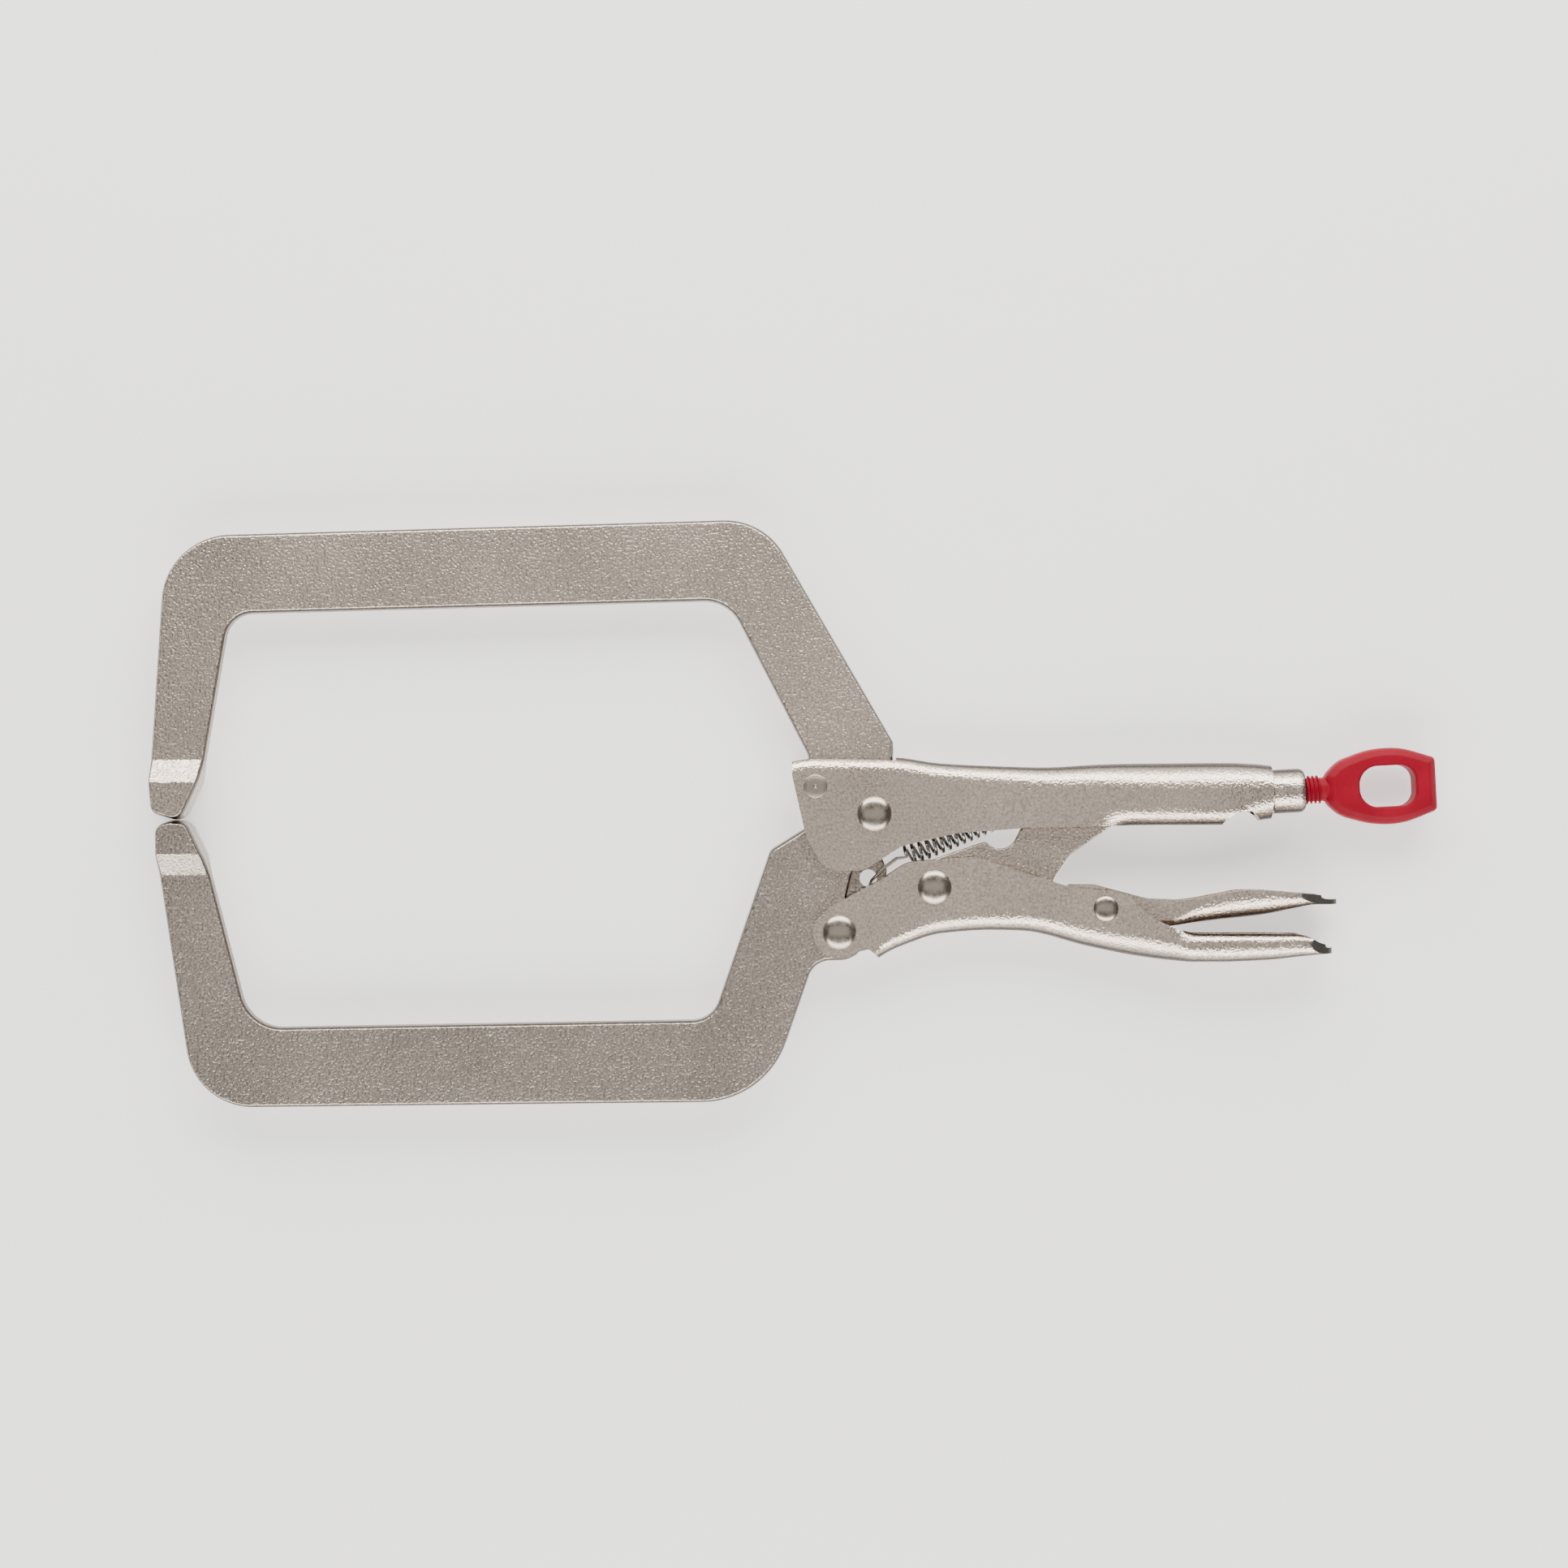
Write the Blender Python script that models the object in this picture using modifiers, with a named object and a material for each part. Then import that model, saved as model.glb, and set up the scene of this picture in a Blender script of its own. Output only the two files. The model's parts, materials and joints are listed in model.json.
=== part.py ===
"""Locking C clamp lying flat on its side.

The length runs along X (jaw tips at -X, ring at +X), the clamp opens along Y and the plate
thicknesses stack along Z. The drawing is laid out in millimetres about the main pivot in the
mid-plane of the plates, and one empty carries the whole clamp to its resting place.
"""
import math

import bmesh
import bpy
from mathutils import Matrix, Vector

MM = 0.001

# Place of the main pivot above the middle of the footprint
PIVOT_X = 28.83
PIVOT_Y = 0.04
HALF_HEIGHT = 10.0

# Pivot points in the locked position
MAIN_PIVOT = (0.0, 0.0)
JAW_PIN = (-21.0, 9.8)
LEVER_PIVOT = (-12.5, -42.2)
LINK_PIVOT = (21.4, -26.1)
RELEASE_PIVOT = (82.3, -33.7)
LINK_NOSE = (89.8, 5.2)

# Adjusting screw: a point on its axis and the tilt of the axis
SCREW_POINT = (152.0, 8.3)
SCREW_TILT = math.radians(2.9)

# Forged jaws
JAW_HALF = 4.75
JAW_EDGE = 1.3
TIP_HALF = 10.0
TIP_EDGE = 0.9
TAB_HALF = 2.3
SPRING_HOLE = (-2.1, -23.0)
SPRING_HOLE_R = 3.1

# Pressed channels
SHEET = 2.1
WALL_OUT = 7.3
WALL_IN = WALL_OUT - SHEET
GRIP_HALF = 10.0
SECTION_WALL = 2
SECTION_FOLD = 4
SECTION_LIP = 4

# Rivets
SHANK_R = 3.2
RIVET_HOLE_R = 3.45
HEAD_GAP = 0.15
DOME_HEIGHT = 1.9
ROUND_STEPS = 24

# Screw, collar and ring
THREAD_R = 5.15
THREAD_ROOT_R = 4.2
THREAD_PITCH = 1.5
COLLAR_BORE_R = 5.4
COLLAR_INNER_R = 6.7
COLLAR_OUTER_R = 7.9
COLLAR_START = -34.0
COLLAR_STEP = -9.5
COLLAR_END = 1.9
SHANK_START = -54.4
SHANK_END = -4.3
STUB_START = -4.0
RING_HALF = 6.3

# Toggle link and release lever
LINK_HALF = 3.0
NOSE_R = 5.0

# Spring
WIRE_R = 0.55
COIL_R = 3.45
COIL_TURNS = 18
COIL_STEPS = 9

ARC_STEP = math.radians(14.0)


# ---------------------------------------------------------------- scene set-up

for old in list(bpy.data.objects):
    bpy.data.objects.remove(old, do_unlink=True)

PARTS = bpy.data.collections.new("locking_c_clamp")
CUTTERS = bpy.data.collections.new("cutters")
bpy.context.scene.collection.children.link(PARTS)
bpy.context.scene.collection.children.link(CUTTERS)


def material(name, colour, metallic, roughness):
    mat = bpy.data.materials.new(name)
    mat.use_nodes = True
    shader = mat.node_tree.nodes["Principled BSDF"]
    shader.inputs["Base Color"].default_value = (*colour, 1.0)
    shader.inputs["Metallic"].default_value = metallic
    shader.inputs["Roughness"].default_value = roughness
    return mat


NICKEL = (0.56, 0.52, 0.48)
MATERIALS = {
    "forged": material("satin_nickel_forging", NICKEL, 1.0, 0.42),
    "pressed": material("satin_nickel_sheet", (0.60, 0.56, 0.51), 1.0, 0.36),
    "polished": material("polished_rivet_steel", (0.66, 0.64, 0.61), 1.0, 0.15),
    "spring": material("spring_wire", (0.70, 0.69, 0.66), 1.0, 0.22),
    "screw": material("plain_screw_steel", (0.50, 0.49, 0.47), 1.0, 0.35),
    "coated": material("red_powder_coat", (0.50, 0.03, 0.05), 0.0, 0.45),
}


def add_object(name, mesh, collection=None):
    obj = bpy.data.objects.new(name, mesh)
    (collection or CUTTERS).objects.link(obj)
    if collection is None:
        obj.hide_render = True
        obj.display_type = "WIRE"
    return obj


def tidy_mesh(mesh):
    """Weld the seams of a converted shape and join the flat triangles of its caps."""
    bm = bmesh.new()
    bm.from_mesh(mesh)
    bmesh.ops.remove_doubles(bm, verts=bm.verts, dist=0.00001)
    flat = math.radians(0.5)
    bmesh.ops.dissolve_limit(bm, angle_limit=flat, verts=bm.verts, edges=bm.edges)
    bmesh.ops.recalc_face_normals(bm, faces=bm.faces)
    bm.to_mesh(mesh)
    bm.free()


def evaluated(obj):
    """The object's mesh with its modifiers applied."""
    bpy.context.view_layer.update()
    graph = bpy.context.evaluated_depsgraph_get()
    return bpy.data.meshes.new_from_object(obj.evaluated_get(graph))


def settle(obj):
    """Replace a construction shape by its finished mesh."""
    mesh = evaluated(obj)
    mesh.transform(obj.matrix_world)
    obj.modifiers.clear()
    obj.data = mesh
    obj.matrix_world = Matrix.Identity(4)
    return obj


# ---------------------------------------------------------------- 2D outlines

def polar(centre, radius, degrees):
    angle = math.radians(degrees)
    return (centre[0] + radius * math.cos(angle), centre[1] + radius * math.sin(angle))


def arc(centre, radius, start, end):
    """Points along an arc, angles in degrees, as sharp outline corners."""
    count = max(2, math.ceil(abs(math.radians(end - start)) / ARC_STEP))
    turns = [start + (end - start) * i / count for i in range(count + 1)]
    return [(*polar(centre, radius, turn), 0.0) for turn in turns]


def rounded(corners):
    """Outline through (x, y, radius) corners, each rounded by its radius."""
    points = []
    count = len(corners)
    for i, (x, y, radius) in enumerate(corners):
        here = Vector((x, y))
        back = Vector(corners[i - 1][:2]) - here
        ahead = Vector(corners[(i + 1) % count][:2]) - here
        turn = math.pi - back.angle(ahead)
        if radius <= 0.0 or turn < 0.01:
            points.append(here)
            continue
        reach = radius * math.tan(turn / 2.0)
        start = here + back.normalized() * reach
        towards = (back.normalized() + ahead.normalized()).normalized()
        centre = here + towards * (radius / math.cos(turn / 2.0))
        spoke = start - centre
        side = 1.0 if back.x * ahead.y - back.y * ahead.x < 0.0 else -1.0
        steps = max(1, math.ceil(turn / ARC_STEP))
        for k in range(steps + 1):
            angle = side * turn * k / steps
            cosine = math.cos(angle)
            sine = math.sin(angle)
            swung = Vector((spoke.x * cosine - spoke.y * sine, spoke.x * sine + spoke.y * cosine))
            points.append(centre + swung)
    return points


# ---------------------------------------------------------------- solids

def plate(name, points, low, high):
    """A flat plate of the given outline between two heights, from a filled 2D curve."""
    curve = bpy.data.curves.new(name, "CURVE")
    curve.dimensions = "2D"
    curve.fill_mode = "BOTH"
    curve.extrude = (high - low) / 2.0 * MM
    spline = curve.splines.new("POLY")
    spline.points.add(len(points) - 1)
    for target, point in zip(spline.points, points):
        target.co = (point[0] * MM, point[1] * MM, 0.0, 1.0)
    spline.use_cyclic_u = True
    shape = bpy.data.objects.new(name + "_curve", curve)
    CUTTERS.objects.link(shape)
    mesh = evaluated(shape)
    bpy.data.objects.remove(shape, do_unlink=True)
    mesh.transform(Matrix.Translation((0.0, 0.0, (low + high) / 2.0 * MM)))
    tidy_mesh(mesh)
    return add_object(name, mesh)


def bevelled(obj, width, segments, degrees=40.0):
    bevel = obj.modifiers.new("edge", "BEVEL")
    bevel.width = width * MM
    bevel.segments = segments
    bevel.limit_method = "ANGLE"
    bevel.angle_limit = math.radians(degrees)
    return settle(obj)


def combined(target, operand, operation):
    """Boolean of two construction shapes; the operand stays as a cutter."""
    change = target.modifiers.new(operation.lower(), "BOOLEAN")
    change.operation = operation
    change.solver = "EXACT"
    change.object = operand
    return settle(target)


def turned(name, profile, steps=ROUND_STEPS):
    """A round piece about Z from a (radius, height) profile, given from top to bottom."""
    mesh = bpy.data.meshes.new(name)
    vertices = [(radius * MM, 0.0, height * MM) for radius, height in profile]
    edges = [(i, i + 1) for i in range(len(profile) - 1)]
    mesh.from_pydata(vertices, edges, [])
    obj = add_object(name, mesh)
    screw = obj.modifiers.new("turn", "SCREW")
    screw.axis = "Z"
    screw.steps = steps
    screw.render_steps = steps
    screw.use_merge_vertices = True
    screw.merge_threshold = 0.00001
    return settle(obj)


def drill(target, centre, radius, name):
    """A bore through the plates, parallel to Z."""
    reach = 2.0 * HALF_HEIGHT
    cutter = turned(name, [(0.0, reach), (radius, reach), (radius, -reach), (0.0, -reach)])
    cutter.data.transform(Matrix.Translation((centre[0] * MM, centre[1] * MM, 0.0)))
    return combined(target, cutter, "DIFFERENCE")


def smooth_value(stations, x, column):
    """Value of one column at x, eased between the stations by a cubic without overshoot."""
    last = len(stations) - 1
    if x <= stations[0][0]:
        return stations[0][column]
    if x >= stations[last][0]:
        return stations[last][column]
    index = max(i for i in range(last) if stations[i][0] <= x)

    def slope(i):
        return (stations[i + 1][column] - stations[i][column]) / (stations[i + 1][0] - stations[i][0])

    def tangent(i):
        if i == 0 or i == last:
            return slope(min(i, last - 1))
        before = slope(i - 1)
        after = slope(i)
        if before * after <= 0.0:
            return 0.0
        return 2.0 * before * after / (before + after)

    width = stations[index + 1][0] - stations[index][0]
    t = (x - stations[index][0]) / width
    start = stations[index][column]
    end = stations[index + 1][column]
    pull = tangent(index) * width
    push = tangent(index + 1) * width
    square = t * t
    cube = square * t
    first = (2.0 * cube - 3.0 * square + 1.0) * start + (cube - 2.0 * square + t) * pull
    return first + (3.0 * square - 2.0 * cube) * end + (cube - square) * push


def half_section(back, edge, half, fold, curl, lip, inset):
    """Half of a channel section from the open edge to the middle of its back.

    back and edge are heights, half the outer half width, fold the radius between the wall and the
    back, and the last lip millimetres of the wall curl inward by the angle curl. inset moves the
    whole line into the sheet.
    """
    side = 1.0 if back > edge else -1.0
    depth = abs(back - edge)
    points = []
    root = lip
    if curl > 0.05:
        bend = lip / curl
        root = bend * math.sin(min(curl, math.pi / 2.0))
    for i in range(SECTION_LIP):
        if curl > 0.05:
            angle = curl * (1.0 - i / SECTION_LIP)
            radius = bend - inset
            points.append((half - bend + radius * math.cos(angle), root - radius * math.sin(angle)))
        else:
            points.append((half - inset, lip * i / SECTION_LIP))
    top = depth - fold
    for i in range(SECTION_WALL):
        points.append((half - inset, root + (top - root) * i / SECTION_WALL))
    for i in range(SECTION_FOLD + 1):
        angle = math.pi / 2.0 * i / SECTION_FOLD
        radius = fold - inset
        points.append((half - fold + radius * math.cos(angle), top + radius * math.sin(angle)))
    points.append((0.0, depth - inset))
    return [(z, edge + side * y) for z, y in points]


def channel(name, stations, lengths, thickness):
    """A pressed channel lofted along X through sections that change shape.

    Each station is (x, back, edge, half width, fold radius, curl in degrees, lip length).
    """
    bm = bmesh.new()
    rings = []
    for x in lengths:
        values = [smooth_value(stations, x, column) for column in range(1, 7)]
        back, edge, half, fold, curl, lip = values
        outer = half_section(back, edge, half, fold, math.radians(curl), lip, 0.0)
        inner = half_section(back, edge, half, fold, math.radians(curl), lip, thickness)
        loop = outer + [(-z, y) for z, y in reversed(outer[:-1])]
        loop += [(-z, y) for z, y in inner[:-1]] + list(reversed(inner))
        rings.append([bm.verts.new((x * MM, y * MM, z * MM)) for z, y in loop])
    count = len(rings[0])
    for first, second in zip(rings, rings[1:]):
        for i in range(count):
            k = (i + 1) % count
            bm.faces.new((first[i], first[k], second[k], second[i]))
    half_count = count // 2
    for ring in (rings[0], rings[-1]):
        for i in range(half_count - 1):
            bm.faces.new((ring[i], ring[i + 1], ring[count - 2 - i], ring[count - 1 - i]))
    mesh = bpy.data.meshes.new(name)
    bmesh.ops.recalc_face_normals(bm, faces=bm.faces)
    bm.to_mesh(mesh)
    bm.free()
    return add_object(name, mesh)


def tidy_normals(mesh):
    bm = bmesh.new()
    bm.from_mesh(mesh)
    bmesh.ops.recalc_face_normals(bm, faces=bm.faces)
    bm.to_mesh(mesh)
    bm.free()


def spread(start, end, count):
    return [start + (end - start) * i / count for i in range(count + 1)]


# ---------------------------------------------------------------- finished parts

CLAMP = bpy.data.objects.new("clamp", None)
CLAMP.location = (PIVOT_X * MM, PIVOT_Y * MM, HALF_HEIGHT * MM)
PARTS.objects.link(CLAMP)


def pivot(name, centre, parent=None, tilt=0.0):
    """An empty on a joint's axis."""
    empty = bpy.data.objects.new(name, None)
    empty.parent = parent or CLAMP
    origin = (0.0, 0.0) if parent is None else parent["centre"]
    empty["centre"] = centre
    empty.location = ((centre[0] - origin[0]) * MM, (centre[1] - origin[1]) * MM, 0.0)
    empty.rotation_euler = (0.0, 0.0, tilt)
    PARTS.objects.link(empty)
    return empty


def finish(obj, mat, parent=None):
    """Turn a construction shape into a part of the clamp, its origin on its parent's axis."""
    CUTTERS.objects.unlink(obj)
    PARTS.objects.link(obj)
    obj.hide_render = False
    obj.display_type = "TEXTURED"
    if parent is not None:
        centre = parent["centre"]
        obj.data.transform(Matrix.Translation((-centre[0] * MM, -centre[1] * MM, 0.0)))
        obj.data.transform(Matrix.Rotation(-parent.rotation_euler.z, 4, "Z"))
    obj.parent = parent or CLAMP
    obj.data.materials.clear()
    obj.data.materials.append(MATERIALS[mat])
    obj.data.shade_smooth()
    obj.data.set_sharp_from_angle(angle=math.radians(32.0))
    return obj


LOWER_JAW = pivot("main_pivot_axis", MAIN_PIVOT)
LEVER = pivot("lever_axis", LEVER_PIVOT, LOWER_JAW)
LINK = pivot("link_axis", LINK_PIVOT, LEVER)
RELEASE = pivot("release_axis", RELEASE_PIVOT, LEVER)
SCREW = pivot("screw_axis", SCREW_POINT, None, SCREW_TILT)


# ---------------------------------------------------------------- forged jaws

def tip_block(name, points, narrow_y, wide_y, end_y):
    """The wide jaw tip: its outline cut back by two slanted shoulders."""
    block = plate(name, points, -TIP_HALF, TIP_HALF)
    bevelled(block, TIP_EDGE, 2)
    beyond = narrow_y + (narrow_y - wide_y)
    slope = (TIP_HALF - JAW_HALF) / (wide_y - narrow_y)
    inner = JAW_HALF - 0.6
    reach = inner + slope * (end_y - narrow_y)
    section = [(narrow_y, inner), (end_y, reach), (end_y, -reach), (narrow_y, -inner)]
    section += [(beyond, -inner * 0.5), (beyond, inner * 0.5)]
    shoulder = plate(name + "_shoulder", section, -20.0, 20.0)
    turn = Matrix(((0, 0, 1, -0.245), (1, 0, 0, 0), (0, 1, 0, 0), (0, 0, 0, 1)))
    shoulder.data.transform(turn)
    tidy_normals(shoulder.data)
    return combined(block, shoulder, "INTERSECT")


def make_upper_jaw():
    """Fixed jaw: a forged bow whose root sits in the front of the channel handle."""
    root = arc(MAIN_PIVOT, 14.4, 165.0, 64.0)
    outline = [
        (-258.3, 1.8, 5.0), (-247.9, -3.7, 4.5), (-240.2, 11.5, 18.0), (-230.2, 71.2, 10.0),
        (-52.2, 76.05, 14.0), (-23.4, 20.4, 3.0), (-26.3, 11.0, 2.0), (-26.3, 3.4, 2.5), *root,
        (7.0, 22.0, 0.0), (6.9, 25.6, 2.5), (-39.5, 105.4, 24.0), (-253.3, 99.2, 25.0),
        (-258.9, 12.0, 20.0),
    ]
    jaw = plate("upper_jaw", rounded(outline), -JAW_HALF, JAW_HALF)
    bevelled(jaw, JAW_EDGE, 2)
    tip = [
        (-258.3, 1.8, 5.0), (-247.9, -3.7, 4.5), (-240.2, 11.5, 18.0), (-238.0, 24.0, 0.0),
        (-258.1, 24.0, 0.0), (-258.9, 12.0, 20.0),
    ]
    wide = tip_block("upper_tip", rounded(tip), 19.5, 10.9, -12.0)
    combined(jaw, wide, "UNION")
    drill(jaw, JAW_PIN, 3.3, "jaw_pin_bore")
    return finish(jaw, "forged")


def make_lower_jaw():
    """Moving jaw: a forged bow with a hub, a lever lug and a thin tab for the spring."""
    hub = arc(MAIN_PIVOT, 12.6, 175.0, -45.0)
    lug = arc(LEVER_PIVOT, 10.3, 72.0, -90.0)
    outline = [
        (-256.5, -3.9, 4.5), (-250.8, -2.3, 6.0), (-244.6, -2.7, 4.5), (-238.6, -15.2, 12.0),
        (-222.8, -76.4, 15.0), (-57.9, -73.5, 10.0), (-37.2, -12.9, 5.0), (-25.0, -5.3, 12.0),
        (-15.0, -1.6, 3.0), *hub, (0.0, -15.5, 3.0), (-7.5, -20.7, 3.0), (-9.6, -29.1, 0.0),
        *lug, (-21.4, -52.7, 8.0), (-38.7, -103.0, 32.0), (-242.6, -105.3, 24.0),
        (-256.4, -15.0, 12.0),
    ]
    jaw = plate("lower_jaw", rounded(outline), -JAW_HALF, JAW_HALF)
    bevelled(jaw, JAW_EDGE, 2)
    tip = [
        (-256.5, -3.9, 4.5), (-250.8, -2.3, 6.0), (-244.6, -2.7, 4.5), (-238.6, -15.2, 12.0),
        (-235.8, -26.0, 0.0), (-254.4, -26.0, 0.0), (-256.4, -15.0, 12.0),
    ]
    wide = tip_block("lower_tip", rounded(tip), -22.2, -14.1, 8.0)
    combined(jaw, wide, "UNION")
    tab = [
        (-13.0, -11.0, 0.0), (0.0, -9.0, 0.0), (2.3, -14.5, 3.0), (4.6, -20.0, 3.0),
        (3.8, -27.0, 4.0), (-4.0, -36.0, 0.0), (-13.0, -38.0, 0.0),
    ]
    thin = plate("spring_tab", rounded(tab), -TAB_HALF, TAB_HALF)
    bevelled(thin, 0.5, 1)
    combined(jaw, thin, "UNION")
    drill(jaw, MAIN_PIVOT, RIVET_HOLE_R, "main_bore")
    drill(jaw, LEVER_PIVOT, RIVET_HOLE_R, "lever_bore")
    drill(jaw, SPRING_HOLE, SPRING_HOLE_R, "spring_bore")
    return finish(jaw, "forged", LOWER_JAW)


# ---------------------------------------------------------------- channel handles

def make_upper_handle():
    """Fixed handle: a channel open downward whose back end closes into a round grip."""
    stations = [
        (-31.0, 19.2, -26.0, WALL_OUT, 4.0, 0.0, 6.0),
        (-22.0, 20.6, -26.0, WALL_OUT, 4.0, 0.0, 6.0),
        (6.7, 20.2, -24.0, WALL_OUT, 4.0, 0.0, 6.0),
        (24.0, 18.0, -16.0, 7.4, 4.0, 0.0, 6.0),
        (47.0, 16.9, -5.6, 7.8, 4.4, 0.0, 6.0),
        (60.0, 16.6, -4.8, 8.2, 5.0, 0.0, 6.0),
        (80.0, 17.6, -4.4, 9.2, 6.5, 10.0, 6.5),
        (90.0, 17.9, -4.2, 9.7, 7.4, 75.0, 7.0),
        (100.0, 18.0, -4.1, GRIP_HALF, 8.2, 105.0, 7.5),
        (126.0, 18.2, -4.0, GRIP_HALF, 8.6, 115.0, 7.5),
        (136.0, 17.8, -2.6, 9.6, 9.0, 88.0, 12.5),
        (141.9, 17.2, -1.8, 9.35, 9.1, 86.0, 13.4),
    ]
    lengths = [-31.0, -22.0, 6.7, *spread(14.0, 78.0, 9), *spread(84.0, 104.0, 6)]
    lengths += [*spread(111.0, 132.0, 3), *spread(135.0, 141.9, 3)]
    body = channel("upper_handle", stations, lengths, SHEET)
    side = [
        (-29.3, 19.0, 1.5), (-29.3, 13.5, 4.0), (-24.2, -8.6, 10.0), (-17.6, -20.3, 8.0),
        (-4.2, -20.4, 10.0), (10.0, -11.4, 12.0), (30.0, -6.8, 30.0), (60.0, -4.7, 0.0),
        (60.0, -12.0, 0.0), (160.0, -12.0, 0.0), (160.0, 30.0, 0.0), (-29.3, 30.0, 0.0),
    ]
    trim = plate("handle_side", rounded(side), -20.0, 20.0)
    combined(body, trim, "INTERSECT")
    slot = plate("jaw_slot", [(-40.0, 13.0), (7.8, 13.0), (7.8, 30.0), (-40.0, 30.0)], -WALL_IN, WALL_IN)
    combined(body, slot, "DIFFERENCE")
    window = [
        (124.0, -20.0, 0.0), (124.0, -3.2, 3.0), (129.5, 0.9, 3.0), (134.6, 0.9, 2.0),
        (137.6, -2.0, 2.0), (137.6, -20.0, 0.0),
    ]
    opening = plate("collar_window", rounded(window), -20.0, 20.0)
    combined(body, opening, "DIFFERENCE")
    lug = plate("spring_lug", rounded([
        (58.0, 15.6, 0.0), (60.0, 6.0, 2.5), (67.0, 6.0, 2.5), (69.0, 15.6, 0.0),
    ]), -1.2, 1.2)
    drill(lug, (63.5, 9.4), 1.4, "spring_lug_bore")
    combined(body, lug, "UNION")
    drill(body, MAIN_PIVOT, RIVET_HOLE_R, "handle_main_bore")
    drill(body, JAW_PIN, 3.3, "handle_pin_bore")
    return finish(body, "pressed")


def make_lower_handle():
    """Moving handle: a channel open upward with two ears in front and a curled tail."""
    stations = [
        (-24.0, -60.0, -14.0, WALL_OUT, 4.0, 0.0, 6.0),
        (-3.0, -58.0, -14.0, WALL_OUT, 4.0, 0.0, 6.0),
        (2.0, -51.3, -12.0, WALL_OUT, 4.0, 0.0, 6.0),
        (12.5, -46.2, -12.0, 7.4, 4.0, 0.0, 6.0),
        (24.0, -42.8, -12.0, 7.5, 4.4, 0.0, 6.0),
        (41.6, -41.6, -14.0, 7.7, 5.0, 0.0, 6.0),
        (53.0, -41.9, -16.0, 7.9, 5.6, 0.0, 6.0),
        (76.4, -47.4, -20.0, 8.4, 7.0, 0.0, 6.0),
        (94.0, -50.9, -26.0, 9.0, 7.4, 0.0, 6.0),
        (106.0, -52.4, -38.0, 9.6, 7.4, 20.0, 6.5),
        (114.0, -52.9, -42.7, GRIP_HALF, 6.0, 80.0, 5.2),
        (122.0, -52.9, -42.7, GRIP_HALF, 6.0, 100.0, 6.0),
        (140.0, -52.2, -42.7, 9.8, 5.6, 100.0, 6.0),
        (151.0, -51.0, -42.9, 9.5, 4.6, 80.0, 4.0),
        (158.0, -50.2, -45.2, 9.0, 3.2, 25.0, 1.0),
        (163.6, -49.7, -46.9, 8.2, 2.4, 0.0, 0.2),
    ]
    lengths = [-24.0, -3.0, *spread(2.0, 26.0, 4), *spread(36.0, 94.0, 6), *spread(100.0, 124.0, 7)]
    lengths += [*spread(130.0, 150.0, 4), *spread(153.0, 163.6, 4)]
    body = channel("lower_handle", stations, lengths, SHEET)
    ear = arc(LEVER_PIVOT, 9.4, 155.0, 310.0)
    side = [
        *ear, (-2.0, -48.2, 2.0), (1.9, -51.6, 0.0), (1.9, -60.0, 0.0), (180.0, -60.0, 0.0),
        (180.0, -36.0, 0.0), (111.4, -36.0, 0.0), (111.4, -42.9, 0.0), (98.0, -36.6, 6.0),
        (89.5, -28.0, 8.0), (70.0, -26.2, 16.0), (36.0, -15.2, 18.0), (12.0, -17.2, 14.0),
        (2.4, -23.5, 20.0), (-16.0, -33.2, 2.0),
    ]
    trim = plate("lever_side", rounded(side), -20.0, 20.0)
    combined(body, trim, "INTERSECT")
    outline = [
        (-30.0, 20.0, 0.0), (-30.0, -20.0, 0.0), (150.0, -20.0, 0.0), (150.0, -11.0, 0.0),
        (154.5, -9.7, 6.0), (163.4, -5.2, 4.0), (163.4, 5.2, 4.0), (154.5, 9.7, 6.0),
        (150.0, 11.0, 0.0), (150.0, 20.0, 0.0),
    ]
    plan = plate("lever_plan", rounded(outline), -70.0, 0.0)
    plan.data.transform(Matrix.Rotation(math.radians(90.0), 4, "X"))
    plan.data.transform(Matrix.Translation((0.0, -0.07, 0.0)))
    combined(body, plan, "INTERSECT")
    drill(body, LEVER_PIVOT, RIVET_HOLE_R, "lever_ear_bore")
    drill(body, LINK_PIVOT, RIVET_HOLE_R, "lever_link_bore")
    drill(body, RELEASE_PIVOT, 2.7, "lever_release_bore")
    return finish(body, "pressed", LEVER)


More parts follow.
